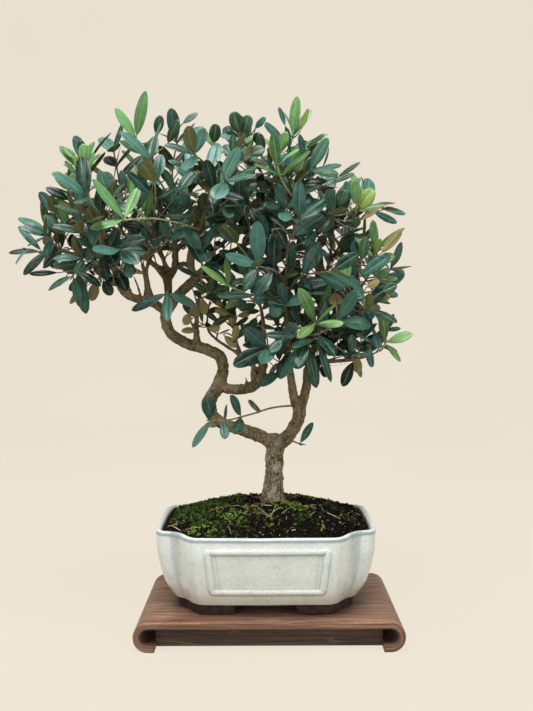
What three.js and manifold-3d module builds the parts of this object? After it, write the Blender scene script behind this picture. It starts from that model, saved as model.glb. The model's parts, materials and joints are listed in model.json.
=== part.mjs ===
// Olive bonsai: a small trained olive tree in a glazed oblong pot, on a wooden stand with scroll ends.
// Millimetres, +Z up. Everything is drawn from the centre of the stand's underside, with +X to the
// right and +Y to the back; at the end the group is moved so that the origin is the bottom centre
// of its bounding box. The tree is one piece of wood, with the leafy shoots that it carries each in
// a node of its own. A shoot's leaves follow a rule with seeded draws: they stand in pairs, each pair
// a quarter turn round the twig from the last, and are turned until they are clear of their neighbours.
import * as THREE from "three";
import Module from "manifold-3d";
import { mergeVertices } from "three/addons/utils/BufferGeometryUtils.js";

const wasm = await Module();
wasm.setup();

// ---------------------------------------------------------------- driving dimensions
const GAP = 0.3; // between two pieces that touch

const STAND = {
  length: 248, depth: 136, height: 27.5, plate: 6.8, lip: 5.8, arcSteps: 10, bevel: 0.8,
  apron: { y: 54.5, thickness: 6, above: 0.8 }, // a board set back under each long edge, between the scrolls
};

// The pot's plan, a quarter of it: from the middle of the side to the middle of the front.
const POT = {
  centreX: -2.9, // the pot stands a little behind the middle of its stand, and to the left
  centreY: 8,
  height: 68, // glazed body, without its feet
  wall: 7,
  floor: 6,
  rimPlan: [[105.5, 0], [105, 30], [104, 45], [99, 51.5], [86, 54.5], [79, 61], [74, 70], [66, 76.5], [0, 78]],
  basePlan: [[89.5, 0], [89, 18], [86.5, 31], [82.5, 39], [75, 44], [71, 50], [66.5, 56], [60, 60.5], [0, 61.5]],
  // how far the wall has drawn in from rim to base, by share of the depth below the rim
  wallCurve: [[0.03, 0], [0.3, 0.04], [0.56, 0.23], [0.8, 0.52], [1, 1]],
  frame: { halfLength: 53, low: 16.6, high: 55.5, halfWidth: 3, proud: 1.5, sunk: 1.6 },
  foot: { height: 8, inset: 3, width: 16, frontEnd: 28, sideEnd: 14, batter: 3 },
  hole: { radius: 8, x: 42, sides: 12 },
};

const SCREEN = { side: 24, thickness: 1.2, openings: 2, bar: 2.6 };

const SOIL = { edgeDrop: 3.5, mound: 22.3, roundness: 1.6, lump: 1.2, rings: [0.26, 0.52, 0.78, 1] };

const BLADE = {
  thickness: 1, // at the rib
  stations: [[0.44, 0.93], [0.8, 0.84]], // share of the length, share of the half width
  fold: 0.18, // rise of the margins for each millimetre from the rib
  sag: 0.1, // how far the tip bends back, by share of the length
  along: 9, // points along and across by which a blade's room is kept
  across: 5,
  room: 3,
};

const TWIG = { base: 1.25, tip: 0.85, joint: 1.2, step: 24, room: 2.6, bare: 0.34, internode: 9.4 };

// Colours and finishes
const STAND_WOOD = { color: 0x8a6a52, roughness: 0.6, metalness: 0 };
const GLAZE = { color: 0xcbd6d2, roughness: 0.25, metalness: 0 };
const SOIL_DARK = { color: 0x2a241d, roughness: 0.95, metalness: 0 };
const SCREEN_PLASTIC = { color: 0x20242a, roughness: 0.6, metalness: 0 };
const BARK = { color: 0x7a6a55, roughness: 0.85, metalness: 0 };
const MATURE_LEAF = { color: 0x35564c, roughness: 0.45, metalness: 0 };
const YOUNG_LEAF = { color: 0x5fa058, roughness: 0.45, metalness: 0 };

// The wood. Each limb is a list of [x, y, z, radius] and begins inside the limb that it grows from.
const LIMBS = {
  trunk: [[4, 0, 84, 7.5], [4, 0, 100, 11.5], [4, 0, 116, 13.2], [4.2, 0, 125, 12.2], [4.6, 0, 134, 10.2],
    [5.4, 0, 150, 8.9], [6.4, 0, 166, 9.2], [7.8, 0, 180, 9.6], [8.8, 0, 188, 7]],
  left_limb: [[8, 0, 175.5, 7.4], [-6, 0, 185, 6.7], [-27, -2, 193, 6.2], [-46, -4, 199.5, 6], [-57, -3, 210, 6.3],
    [-57.5, 0, 223, 6.3], [-50, 2, 236, 7], [-45, 4, 251, 5.7], [-48, 6, 264.5, 5.8], [-61.5, 8, 272, 5.8],
    [-80, 8, 277.5, 5.6], [-96, 6, 287.5, 5.5], [-102, 3, 302, 5.4], [-101, 3, 313, 5.2]],
  far_left: [[-101, 3, 309, 4.6], [-113, 0, 318, 4.5], [-133, -6, 324, 4.1], [-142.5, -9, 331, 4],
    [-148, -12, 347, 3.5], [-157, -14, 363, 3], [-163, -14, 380, 2.5], [-170, -12, 398, 1.9], [-174, -10, 416, 1.3]],
  crown_right: [[-101, 3, 309, 5], [-89, 2, 327, 4.9], [-73, 0, 341.5, 4.8], [-61, -2, 354, 3.9],
    [-45, -5, 364.5, 2.8], [-27, -8, 373, 2.2], [-11, -10, 381, 1.8], [4, -10, 395, 1.4], [12, -8, 413, 1.1]],
  crown_mid: [[-100, 4, 316, 4.4], [-100, 8, 333, 4.2], [-102, 12, 345, 4.6], [-109, 14, 354, 2.8],
    [-123, 16, 364, 2.2], [-134, 18, 375, 1.9], [-142, 20, 395, 1.5], [-146, 20, 415, 1.1]],
  crown_centre: [[-101, 12, 343, 4], [-94, 14, 356, 3.5], [-94, 16, 378, 3], [-96, 18, 402, 2.2],
    [-98, 18, 425, 1.5], [-97, 16, 445, 1.1]],
  crown_bridge: [[-96, 13, 353, 2.8], [-84, 10, 358, 2.9], [-75, 4, 351, 3], [-70, 0, 344, 2.8]],
  crown_front: [[-74, 0, 342, 3], [-74, -8, 364, 2.6], [-69, -20, 381, 2.3], [-62, -34, 396, 2],
    [-56, -44, 412, 1.6], [-53, -48, 430, 1.2]],
  crown_back_left: [[-102, 12, 347, 2.6], [-108, 24, 368, 2], [-118, 40, 388, 1.7], [-128, 55, 408, 1.4],
    [-134, 66, 426, 1]],
  crown_back: [[-94, 15, 370, 2.8], [-80, 34, 388, 2.2], [-62, 52, 402, 1.8], [-45, 66, 418, 1.3], [-34, 76, 432, 1]],
  left_back: [[-148, -12, 346, 2.2], [-160, 10, 366, 1.9], [-172, 30, 380, 1.5], [-184, 45, 396, 1.1]],
  left_front: [[-144, -9, 335, 2.1], [-150, -30, 354, 1.8], [-152, -50, 370, 1.5], [-150, -68, 386, 1.1]],
  left_tip: [[-156, -14, 361, 2], [-176, -12, 366, 1.7], [-196, -10, 368, 1.4], [-212, -8, 371, 1.1]],
  upright_back: [[-122, -2, 320, 2.2], [-121, 4, 340, 1.8], [-121, 12, 356, 1.5], [-114, 28, 378, 1.2],
    [-106, 38, 398, 1]],
  upright_front: [[-112, 0, 317, 2.1], [-117, -12, 338, 1.8], [-116, -24, 358, 1.5], [-110, -40, 380, 1.3],
    [-104, -58, 400, 1]],
  low_branch: [[-50, 2, 237, 6], [-38, 0, 233, 5.3], [-22, -3, 233.5, 5.2], [-11, -6, 240, 5.5], [-6, -8, 252, 4.8],
    [-5, -9, 264, 3.7], [-6, -10, 275, 3.4], [-4, -12, 290, 2.5], [-6, -16, 308, 1.9], [-10, -22, 326, 1.4],
    [-12, -30, 342, 1.1]],
  low_fork: [[-7, -8, 249, 2.7], [-17, -4, 257.6, 2.3], [-32, 4, 269, 2], [-51, 14, 281, 1.7], [-61, 22, 291, 1.5],
    [-62, 26, 305, 1.3], [-60, 32, 322, 1]],
  low_riser: [[-25, 1, 263, 2], [-32, 6, 280, 2], [-33, 12, 297, 1.8], [-34, 18, 316, 1.5], [-37, 24, 334, 1.1]],
  stump: [[-71, 8, 274, 4], [-71.5, 6, 285, 3.7], [-71.5, 3, 296, 2.7], [-69, -4, 312, 1.7], [-66, -12, 332, 1.2]],
  snag: [[-8, -7, 243, 2.2], [-2, -10, 247, 1.4], [5, -12, 250, 1]],
  right_limb: [[8, 0, 177, 7.6], [18, 0, 184.5, 7], [25, -1, 194, 6.6], [29.5, -2, 204, 6.4], [31, -3, 213, 6.6],
    [32, -4, 219, 5.4]],
  right_front: [[29, -3, 211, 5], [24.5, -6, 228, 4.6], [22, -10, 247, 4], [19, -15, 268, 3.4], [20, -22, 292, 2.7],
    [18, -30, 314, 2.2], [17, -38, 334, 1.8], [17, -44, 354, 1.3]],
  right_upper: [[32, -4, 214, 5], [38, -2, 236, 4.7], [39, 0, 251, 4.2], [45, 4, 270, 3.4], [49, 8, 290, 2.7],
    [53, 12, 313, 2.3], [57, 16, 336, 2], [62, 18, 360, 1.8], [66, 18, 384, 1.5], [66, 14, 406, 1.1]],
  right_low: [[41, 1, 257, 3], [52, -6, 260, 2.6], [66, -14, 261, 2.2], [82, -20, 263, 1.9], [97, -24, 267, 1.5],
    [106, -26, 271, 1.1]],
  right_out: [[49, 8, 287, 2.5], [62, 2, 302, 2.1], [76, -4, 316, 1.8], [90, -8, 331, 1.5], [98, -10, 344, 1.2]],
  right_back: [[44, 4, 266, 2.6], [54, 22, 284, 2.1], [64, 40, 300, 1.8], [76, 54, 318, 1.4], [86, 62, 334, 1]],
  centre_up: [[20, -21, 288, 2.3], [14, -8, 316, 2], [6, 0, 344, 1.8], [0, 4, 372, 1.7], [-2, 4, 400, 1.5],
    [2, 2, 426, 1.2], [8, 0, 446, 1]],
  centre_back: [[4, 2, 352, 1.7], [10, 22, 378, 1.5], [18, 42, 398, 1.3], [24, 60, 414, 1]],
  centre_front: [[-1, 4, 376, 1.6], [8, -16, 394, 1.4], [18, -36, 410, 1.2], [24, -52, 422, 1]],
  right_crown: [[61, 18, 356, 1.8], [74, 10, 378, 1.5], [88, 2, 396, 1.2], [100, -4, 410, 1]],
  right_crown_back: [[64, 18, 378, 1.5], [60, 36, 398, 1.3], [54, 56, 412, 1]],
};

// Leafy shoots. `on` is the limb and the share of its length where the twig leaves it, and `to` is what
// the twig passes through or ends at. Where leaves are given, each is [share of the twig, tip, width];
// the other shoots get theirs by rule.
const SHOOTS = [
  // this year's bright shoots
  { young: 1, on: ["crown_front", 0.5], to: [[-80, -52, 391], [-103, -66, 394], [-129, -72, 392]],
    leaves: [[1, [-167, -76, 381], 12], [1, [-155, -80, 427], 12], [1, [-134, -96, 408], 8],
      [1, [-124, -62, 431], 11], [0.75, [-119, -94, 401], 9], [0.75, [-102, -82, 416], 12]] },
  { young: 1, on: ["crown_centre", 0.78], to: [[-106, -10, 438], [-118, -28, 458], [-124, -38, 473]],
    leaves: [[1, [-142, -44, 500], 10], [1, [-118, -40, 503], 11], [0.7, [-140, -34, 472], 9],
      [0.7, [-102, -48, 470], 10]] },
  { young: 1, on: ["far_left", 0.9], to: [[-174, -20, 418], [-178, -24, 434], [-181, -26, 447]],
    leaves: [[1, [-198, -30, 468], 9], [1, [-178, -22, 476], 9], [0.72, [-164, -36, 460], 13],
      [0.72, [-190, -44, 450], 11], [0.45, [-200, -22, 436], 11], [0.45, [-172, -50, 436], 10]] },
  { young: 1, on: ["centre_up", 1], to: [[18, -5, 462], [25, -10, 480]],
    leaves: [[1, [29, -13, 519], 12], [1, [10, -18, 508], 9], [1, [43, -2, 509], 9], [0.55, [58, -14, 482], 8],
      [0.55, [-8, -12, 480], 9]] },
  { young: 1, on: ["centre_front", 0.86], to: [[13, -56, 430], [9, -64, 442]],
    leaves: [[1, [5, -70, 470], 9], [1, [22, -78, 468], 12], [0.62, [38, -76, 452], 14], [0.62, [-12, -78, 440], 9]] },
  { young: 1, on: ["right_crown", 0.62], to: [[86, -8, 404], [89, -14, 418]],
    leaves: [[1, [82, -16, 444], 9], [1, [106, -22, 438], 15], [0.6, [114, -20, 412], 10], [0.6, [66, -22, 420], 9]] },
  { young: 1, on: ["right_out", 1], to: [[102, -16, 356], [104, -22, 368]],
    leaves: [[1, [101, -24, 397], 8], [1, [128, -30, 388], 8], [0.7, [86, -34, 384], 10], [0.5, [122, -26, 362], 13],
      [0.16, [124, -24, 340], 10], [0.16, [86, -34, 350], 9]] },
  { young: 1, on: ["right_front", 0.62], to: [[30, -50, 294], [42, -76, 298]],
    leaves: [[1, [27, -92, 329], 13], [1, [58, -92, 330], 13], [1, [66, -86, 298], 9], [1, [26, -98, 286], 9]] },
  { young: 1, on: ["right_low", 1], to: [[112, -28, 279]],
    leaves: [[1, [108, -33, 308], 12], [1, [137, -32, 288], 11], [1, [124, -40, 262], 8]] },
  { young: 1, on: ["low_branch", 0.84], to: [[-20, -44, 325], [-36, -60, 333]],
    leaves: [[1, [-60, -70, 350], 8], [1, [-40, -72, 360], 8], [0.6, [-40, -48, 312], 8], [0.6, [-14, -66, 344], 9]] },
  // the long low twig that crosses in front of the tree
  { on: ["right_front", 0.06], to: [[5, -14, 216], [-17, -18, 210], [-39, -22, 205], [-55, -26, 205.5]],
    leaves: [[1, [-72, -34, 181], 8], [1, [-59, -36, 230], 13], [1, [-54, -50, 202], 10, 1], [0.8, [-41, -36, 189], 9],
      [0.8, [-39, -38, 221], 8], [0.6, [-36, -34, 230], 11], [0.6, [-31, -40, 194], 11], [0.42, [-15, -44, 226], 13, 1]] },
  { on: ["right_limb", 0.2], to: [[22, -14, 184], [30, -20, 181.5]], leaves: [[1, [43, -26, 202.4], 10.5]] },
  // three leaves that hang before the fork of the long limb
  { on: ["far_left", 0.06], to: [[-100, -14, 324], [-96, -28, 328]],
    leaves: [[1, [-128.5, -36, 311], 11], [1, [-103, -46, 299.6], 10], [1, [-75.6, -36, 309], 10]] },
  { on: ["left_tip", 1], to: [[-221, -10, 369]],
    leaves: [[1, [-253, -12, 368], 8], [1, [-244, -10, 392], 8], [0.3, [-236, -20, 346], 9], [0.3, [-224, 12, 356], 9]] },
  // the dark leaves that hang before the right limb's fork
  { on: ["right_low", 0.6], to: [[68, -34, 274], [48, -46, 284], [35, -50, 281]],
    leaves: [[1, [11, -50, 247], 12], [1, [27, -68, 259], 12], [1, [39, -56, 243], 13], [0.74, [22, -66, 276], 10],
      [0.74, [53, -52, 249], 9], [0.5, [52, -60, 270], 11]] },
  // the crown's mature shoots, from the left
  { on: ["left_tip", 0.4], to: [[-180, -28, 354], [-184, -38, 344]],
    leaves: [[1, [-206, -42, 330], 9], [1, [-189, -46, 318], 10], [0.72, [-174, -42, 322], 12], [0.72, [-158, -38, 334], 10],
      [0.4, [-200, -44, 352], 10]] },
  { on: ["left_tip", 0.62], to: [[-224, 18, 392]] },
  { on: ["far_left", 0.72], to: [[-202, -22, 404]] },
  { on: ["far_left", 1], to: [[-180, 6, 456]] },
  { on: ["left_back", 1], to: [[-204, 62, 412]] },
  { on: ["left_front", 1], to: [[-158, -90, 410]] },
  { on: ["right_front", 0.4], to: [[0, -50, 276]] },
  { on: ["left_front", 0.5], to: [[-132, -78, 364]] },
  { on: ["crown_mid", 1], to: [[-154, 8, 470]] },
  { on: ["crown_mid", 0.75], to: [[-162, 44, 444]] },
  { on: ["upright_front", 1], to: [[-104, -80, 444]] },
  { on: ["right_front", 0.55], to: [[46, -46, 286], [64, -56, 300]] },
  { on: ["upright_back", 1], to: [[-82, 54, 436]] },
  { on: ["crown_back_left", 1], to: [[-140, 76, 466]] },
  { on: ["right_back", 0.3], to: [[88, 44, 272]] },
  { on: ["crown_centre", 1], to: [[-90, 2, 478]] },
  { on: ["crown_front", 1], to: [[-66, -64, 452]] },
  { on: ["crown_front", 0.7], to: [[-38, -84, 424]] },
  { on: ["crown_back", 1], to: [[-22, 90, 466]] },
  { on: ["crown_back", 0.6], to: [[-76, 90, 432]] },
  { on: ["crown_right", 1], to: [[-20, -16, 472]] },
  { on: ["crown_right", 0.62], to: [[-26, -44, 408]] },
  { on: ["centre_up", 0.8], to: [[-30, 10, 474]] },
  { on: ["centre_back", 1], to: [[12, 72, 466]] },
  { on: ["centre_front", 1], to: [[38, -70, 436]] },
  { on: ["right_upper", 1], to: [[44, -4, 438]] },
  { on: ["right_upper", 0.42], to: [[70, -22, 288], [92, -36, 312]] },
  { on: ["right_crown_back", 1], to: [[58, 80, 428]] },
  { on: ["right_crown", 0.9], to: [[100, 22, 420]] },
  { on: ["right_back", 1], to: [[88, 84, 388]] },
  { on: ["right_back", 0.55], to: [[112, 56, 330]] },
  { on: ["right_out", 0.55], to: [[106, 6, 330]] },
  { on: ["right_front", 1], to: [[28, -66, 392]] },
  { on: ["right_front", 0.84], to: [[-8, -70, 350]] },
  { on: ["right_upper", 0.8], to: [[62, -36, 400]] },
  { on: ["right_front", 0.78], to: [[58, -66, 346]] },
  { on: ["low_branch", 1], to: [[-28, -46, 372]] },
  { on: ["low_fork", 1], to: [[-62, 46, 360]] },
  { on: ["stump", 1], to: [[-62, -40, 366]] },
];

// ---------------------------------------------------------------- draws, curves and closed solids
/** A seeded dice, so that the tree grows the same way each time. */
class Dice {
  constructor(seed) {
    this.state = ((seed * 7919) % 2147483646) + 1;
    this.roll();
  }

  roll() {
    this.state = (this.state * 16807) % 2147483647;
    return this.state / 2147483647;
  }

  spread(reach) {
    return (this.roll() * 2 - 1) * reach;
  }
}

const vector = (numbers) => new THREE.Vector3(numbers[0], numbers[1], numbers[2]);
const radians = THREE.MathUtils.degToRad;
const mix = (a, b, share) => a + (b - a) * share;

/** The numbers of a smooth line through `points`, at a share of the way along them. */
function along(points, share) {
  const last = points.length - 1;
  const at = Math.min(Math.max(share, 0), 1) * last;
  const i = Math.min(Math.floor(at), last - 1);
  const u = at - i;
  const [a, b, c, d] = [points[Math.max(i - 1, 0)], points[i], points[i + 1], points[Math.min(i + 2, last)]];
  return b.map((_, k) => 0.5 * (2 * b[k] + (c[k] - a[k]) * u + (2 * a[k] - 5 * b[k] + 4 * c[k] - d[k]) * u * u
    + (3 * b[k] - a[k] - 3 * c[k] + d[k]) * u * u * u));
}

/** The direction in which that line runs. */
function heading(points, share) {
  const from = vector(along(points, share - 0.02));
  return vector(along(points, share + 0.02)).sub(from).normalize();
}

function lineLength(points) {
  let length = 0;
  for (let i = 1; i < points.length; i++) length += vector(points[i]).distanceTo(vector(points[i - 1]));
  return length;
}

/** A closed skin over rings of points, its ends filled; a single point closes an end to a tip. */
function skin(rings, { fromEven = false } = {}) {
  const positions = [];
  const starts = [];
  for (const ring of rings) {
    starts.push(positions.length / 3);
    for (const p of ring) positions.push(p.x, p.y, p.z);
  }
  const faces = [];
  for (let i = 0; i + 1 < rings.length; i++) {
    const count = Math.max(rings[i].length, rings[i + 1].length);
    for (let k = 0; k < count; k++) {
      const next = (k + 1) % count;
      if (rings[i + 1].length === 1) faces.push(starts[i] + k, starts[i] + next, starts[i + 1]);
      else if (rings[i].length === 1) faces.push(starts[i], starts[i + 1] + next, starts[i + 1] + k);
      else {
        const [a, b, c, d] = [starts[i] + k, starts[i] + next, starts[i + 1] + next, starts[i + 1] + k];
        if (fromEven && k % 2) faces.push(a, b, d, b, c, d);
        else faces.push(a, b, c, a, c, d);
      }
    }
  }
  for (const [ring, start, flip] of [[rings[0], starts[0], true], [rings.at(-1), starts.at(-1), false]]) {
    if (ring.length < 3) continue;
    for (const [a, b, c] of fill(ring)) faces.push(start + a, ...(flip ? [start + c, start + b] : [start + b, start + c]));
  }
  const geometry = new THREE.BufferGeometry();
  geometry.setAttribute("position", new THREE.Float32BufferAttribute(positions, 3));
  geometry.setIndex(faces);
  return geometry;
}

/** Triangles that fill a ring, which may have hollows in it. */
function fill(ring) {
  const origin = ring[0];
  const normal = new THREE.Vector3();
  for (let k = 1; k + 1 < ring.length; k++) {
    normal.add(ring[k].clone().sub(origin).cross(ring[k + 1].clone().sub(origin)));
  }
  normal.normalize();
  const across = ring[1].clone().sub(origin);
  across.addScaledVector(normal, -across.dot(normal)).normalize();
  const up = normal.clone().cross(across);
  const flat = ring.map((p) => new THREE.Vector2(p.clone().sub(origin).dot(across), p.clone().sub(origin).dot(up)));
  return THREE.ShapeUtils.triangulateShape(flat, []);
}

/** A solid for booleans from a closed geometry, whichever way its faces run. */
function solid(geometry) {
  const bare = geometry.clone();
  bare.deleteAttribute("normal");
  bare.deleteAttribute("uv");
  const merged = mergeVertices(bare, 1e-4);
  const at = merged.attributes.position;
  const faces = Array.from(merged.index.array);
  const corner = (k) => new THREE.Vector3().fromBufferAttribute(at, faces[k]);
  let volume = 0;
  for (let k = 0; k < faces.length; k += 3) volume += corner(k).dot(corner(k + 1).cross(corner(k + 2)));
  if (volume < 0) for (let k = 0; k < faces.length; k += 3) [faces[k], faces[k + 1]] = [faces[k + 1], faces[k]];
  return new wasm.Manifold(new wasm.Mesh({
    numProp: 3, vertProperties: new Float32Array(at.array), triVerts: new Uint32Array(faces),
  }));
}

const fuse = (solids) => solids.reduce((whole, piece) => whole.add(piece));
const largest = (shape) => shape.decompose().reduce((a, b) => (a.volume() >= b.volume() ? a : b));

function geometryOf(shape) {
  const mesh = shape.getMesh();
  const indexed = new THREE.BufferGeometry();
  const points = [];
  for (let k = 0; k < mesh.vertProperties.length; k += mesh.numProp) {
    points.push(mesh.vertProperties[k], mesh.vertProperties[k + 1], mesh.vertProperties[k + 2]);
  }
  indexed.setAttribute("position", new THREE.Float32BufferAttribute(points, 3));
  indexed.setIndex(Array.from(mesh.triVerts));
  const faceted = indexed.toNonIndexed();
  faceted.computeVertexNormals();
  return faceted;
}

/** A round stem along a line of [x, y, z, radius]; `grow` makes it that much fatter. */
function stem(points, { sides, step, grow = 0 }) {
  const count = Math.max(2, Math.round(lineLength(points) / step));
  const rings = [];
  let side = null;
  for (let i = 0; i <= count; i++) {
    const at = along(points, i / count);
    const forward = heading(points, i / count);
    if (!side) side = new THREE.Vector3(0.3, 1, 0.2);
    side.addScaledVector(forward, -side.dot(forward)).normalize();
    const other = forward.clone().cross(side);
    const centre = vector(at);
    if (i === 0) centre.addScaledVector(forward, -grow);
    if (i === count) centre.addScaledVector(forward, grow);
    rings.push(Array.from({ length: sides }, (_, k) => {
      const turn = (2 * Math.PI * k) / sides;
      return centre.clone().addScaledVector(side, Math.cos(turn) * (at[3] + grow))
        .addScaledVector(other, Math.sin(turn) * (at[3] + grow));
    }));
  }
  return skin(rings);
}

/** A box between two corners. */
function block(low, high) {
  const size = vector(high).sub(vector(low));
  const geometry = new THREE.BoxGeometry(size.x, size.y, size.z);
  return geometry.translate(low[0] + size.x / 2, low[1] + size.y / 2, low[2] + size.z / 2);
}

// ---------------------------------------------------------------- stand
/** The stand's board, whose ends roll under into feet, swept from front to back. */
function standGeometry() {
  const { length, depth, height, plate, lip, arcSteps, bevel } = STAND;
  const outer = height / 2;
  const inner = outer - plate;
  const centre = length / 2 - outer;
  const right = [];
  for (let i = 0; i <= arcSteps; i++) {
    const turn = Math.PI / 2 - (Math.PI * i) / arcSteps;
    right.push([centre + outer * Math.cos(turn), outer + outer * Math.sin(turn)]);
  }
  right.push([centre - lip, 0], [centre - lip, plate]);
  for (let i = 0; i <= arcSteps; i++) {
    const turn = -Math.PI / 2 + (Math.PI * i) / arcSteps;
    right.push([centre + inner * Math.cos(turn), outer + inner * Math.sin(turn)]);
  }
  const left = right.map(([x, z]) => [-x, z]).reverse();
  const shape = new THREE.Shape([...right, ...left].map(([x, z]) => new THREE.Vector2(x, z)));
  const geometry = new THREE.ExtrudeGeometry(shape, {
    depth: depth - 2 * bevel, bevelEnabled: true, bevelThickness: bevel, bevelSize: bevel, bevelOffset: -bevel,
    bevelSegments: 1, steps: 1,
  });
  return geometry.translate(0, 0, -(depth / 2 - bevel)).rotateX(Math.PI / 2);
}

/** The stand: its board, with an apron board set back under the front edge and the back one. */
function standSolid() {
  const { length, height, plate, lip, apron } = STAND;
  const reach = (length - height) / 2 - lip + 0.4;
  return fuse([standGeometry(), ...[-1, 1].map((face) => {
    const middle = face * (apron.y - apron.thickness / 2);
    return block([-reach, middle - apron.thickness / 2, apron.above], [reach, middle + apron.thickness / 2, height - plate + 0.8]);
  })].map(solid));
}

// ---------------------------------------------------------------- pot
const POT_BASE = STAND.height + GAP + POT.foot.height;
const POT_RIM = POT_BASE + POT.height;

/** A whole ring of the pot's plan at a height, from a quarter plan. */
function planRing(quarter, z) {
  const corner = quarter.slice(1, -1);
  const [side, front] = [quarter[0], quarter.at(-1)];
  const ring = [[side[0], 0], ...corner, [0, front[1]], ...corner.map(([x, y]) => [-x, y]).reverse(), [-side[0], 0],
    ...corner.map(([x, y]) => [-x, -y]), [0, -front[1]], ...corner.map(([x, y]) => [x, -y]).reverse()];
  return ring.map(([x, y]) => new THREE.Vector3(x + POT.centreX, y + POT.centreY, z));
}

/** The quarter plan at a share of the depth below the rim, drawn in by `inset` millimetres. */
function planAt(depthShare, inset = 0) {
  const curve = POT.wallCurve;
  let drawnIn = curve[0][1];
  for (let i = 1; i < curve.length; i++) {
    const [[d0, s0], [d1, s1]] = [curve[i - 1], curve[i]];
    if (depthShare > d0) drawnIn = mix(s0, s1, Math.min((depthShare - d0) / (d1 - d0), 1));
  }
  return POT.rimPlan.map(([x, y], k) => {
    const [wide, deep] = [mix(x, POT.basePlan[k][0], drawnIn), mix(y, POT.basePlan[k][1], drawnIn)];
    const out = planNormal(k);
    return [Math.max(wide - out[0] * inset, 0), Math.max(deep - out[1] * inset, 0)];
  });
}

/** The direction straight out of the pot's wall at a point of the quarter plan. */
function planNormal(k) {
  const plan = POT.rimPlan;
  if (k === 0) return [1, 0];
  if (k === plan.length - 1) return [0, 1];
  const [before, here, after] = [plan[k - 1], plan[k], plan[k + 1]];
  const one = new THREE.Vector2(here[1] - before[1], before[0] - here[0]).normalize();
  const two = new THREE.Vector2(after[1] - here[1], here[0] - after[0]).normalize();
  const out = one.clone().add(two);
  out.divideScalar(Math.max(out.dot(one), 0.6));
  return [out.x, out.y];
}

/** The raised bead round the sunken panel on the front (-1) or back (1) of the pot. */
function panelFrame(face) {
  const { halfLength, low, high, halfWidth, proud, sunk } = POT.frame;
  const wallY = (z) => POT.centreY + face * planAt((POT_RIM - z) / POT.height).at(-1)[1];
  const lean = (z) => new THREE.Vector3(0, face, (wallY(z - 1) - wallY(z + 1)) * -0.5 * face).normalize();
  const sides = [0.25, 0.5, 0.75].map((share) => mix(low, high, share));
  const route = [[-halfLength, low, -1, -1], [halfLength, low, 1, -1], ...sides.map((h) => [halfLength, h, 1, 0]),
    [halfLength, high, 1, 1], [-halfLength, high, -1, 1], ...sides.toReversed().map((h) => [-halfLength, h, -1, 0])];
  const rings = route.map(([x, h, outX, outZ]) => {
    const point = (across, lift) => {
      const z = POT_BASE + h + across * outZ * halfWidth;
      return new THREE.Vector3(POT.centreX + x + across * outX * halfWidth, wallY(z), z).addScaledVector(lean(z), lift);
    };
    return [point(-1, -sunk), point(-0.5, proud), point(0.5, proud), point(1, -sunk)];
  });
  const positions = rings.flat().flatMap((p) => [p.x, p.y, p.z]);
  const faces = [];
  const width = rings[0].length;
  rings.forEach((_, i) => {
    const next = (i + 1) % rings.length;
    for (let k = 0; k < width; k++) {
      const [a, b] = [i * width + k, i * width + ((k + 1) % width)];
      const [c, d] = [next * width + ((k + 1) % width), next * width + k];
      faces.push(a, b, c, a, c, d);
    }
  });
  const geometry = new THREE.BufferGeometry();
  geometry.setAttribute("position", new THREE.Float32BufferAttribute(positions, 3));
  geometry.setIndex(faces);
  return geometry;
}

/** One corner foot, an angle that follows the base, with its ends leaning in. */
function foot(sideX, sideY) {
  const { height, inset, width, frontEnd, sideEnd, batter } = POT.foot;
  const outer = planAt(1, inset).slice(1, -1);
  const inner = planAt(1, inset + width).slice(1, -1).filter((_, k) => [0, 1, 5, 6].includes(k));
  const level = (z, end) => {
    const plan = [[outer[0][0] + 0.4, sideEnd + end], ...outer, [frontEnd + end, outer.at(-1)[1] + 0.3],
      [frontEnd + end, outer.at(-1)[1] - width], [inner[0][0] - 6, inner[0][1] + 14], [outer[0][0] - width, sideEnd + end]];
    return plan.map(([x, y]) => new THREE.Vector3(POT.centreX + sideX * x, POT.centreY + sideY * y, z));
  };
  return skin([level(POT_BASE - height, batter), level(POT_BASE + 2, -batter / 4)]);
}

function potSolid() {
  const { height, wall, floor, wallCurve, hole } = POT;
  const level = (share, inset) => planRing(planAt(share, inset), POT_RIM - share * height);
  const outside = skin([level(0, 1.3), ...wallCurve.map(([share]) => level(share, 0))]);
  const floorShare = 1 - floor / height;
  const insideShares = wallCurve.map(([share]) => share).filter((share) => share < floorShare - 0.02);
  const mouth = planRing(planAt(0, wall - 1.2), POT_RIM + 1);
  const inside = skin([mouth, ...[...insideShares, floorShare].map((share) => level(share, wall))]);
  let body = solid(outside).subtract(solid(inside));
  for (const face of [-1, 1]) body = body.add(solid(panelFrame(face)).subtract(solid(inside)));
  for (const [sideX, sideY] of [[1, 1], [-1, 1], [-1, -1], [1, -1]]) body = body.add(solid(foot(sideX, sideY)));
  for (const x of [POT.centreX - hole.x, POT.centreX + hole.x]) {
    const drain = new THREE.CylinderGeometry(hole.radius, hole.radius, 3 * floor, hole.sides);
    body = body.subtract(solid(drain.rotateX(Math.PI / 2).translate(x, POT.centreY, POT_BASE + floor / 2)));
  }
  return body;
}

/** A square of plastic mesh that keeps the soil in over a drain hole. */
function screenSolid(x) {
  const { side, thickness, openings, bar } = SCREEN;
  const z = POT_BASE + POT.floor + GAP;
  const y = POT.centreY;
  let sheet = solid(block([x - side / 2, y - side / 2, z], [x + side / 2, y + side / 2, z + thickness]));
  const pitch = (side - bar) / openings;
  for (let i = 0; i < openings; i++) {
    for (let j = 0; j < openings; j++) {
      const [left, near] = [x - side / 2 + bar + i * pitch, y - side / 2 + bar + j * pitch];
      sheet = sheet.subtract(solid(block([left, near, z - 1], [left + pitch - bar, near + pitch - bar, z + thickness + 1])));
    }
  }
  return sheet;
}

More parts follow.
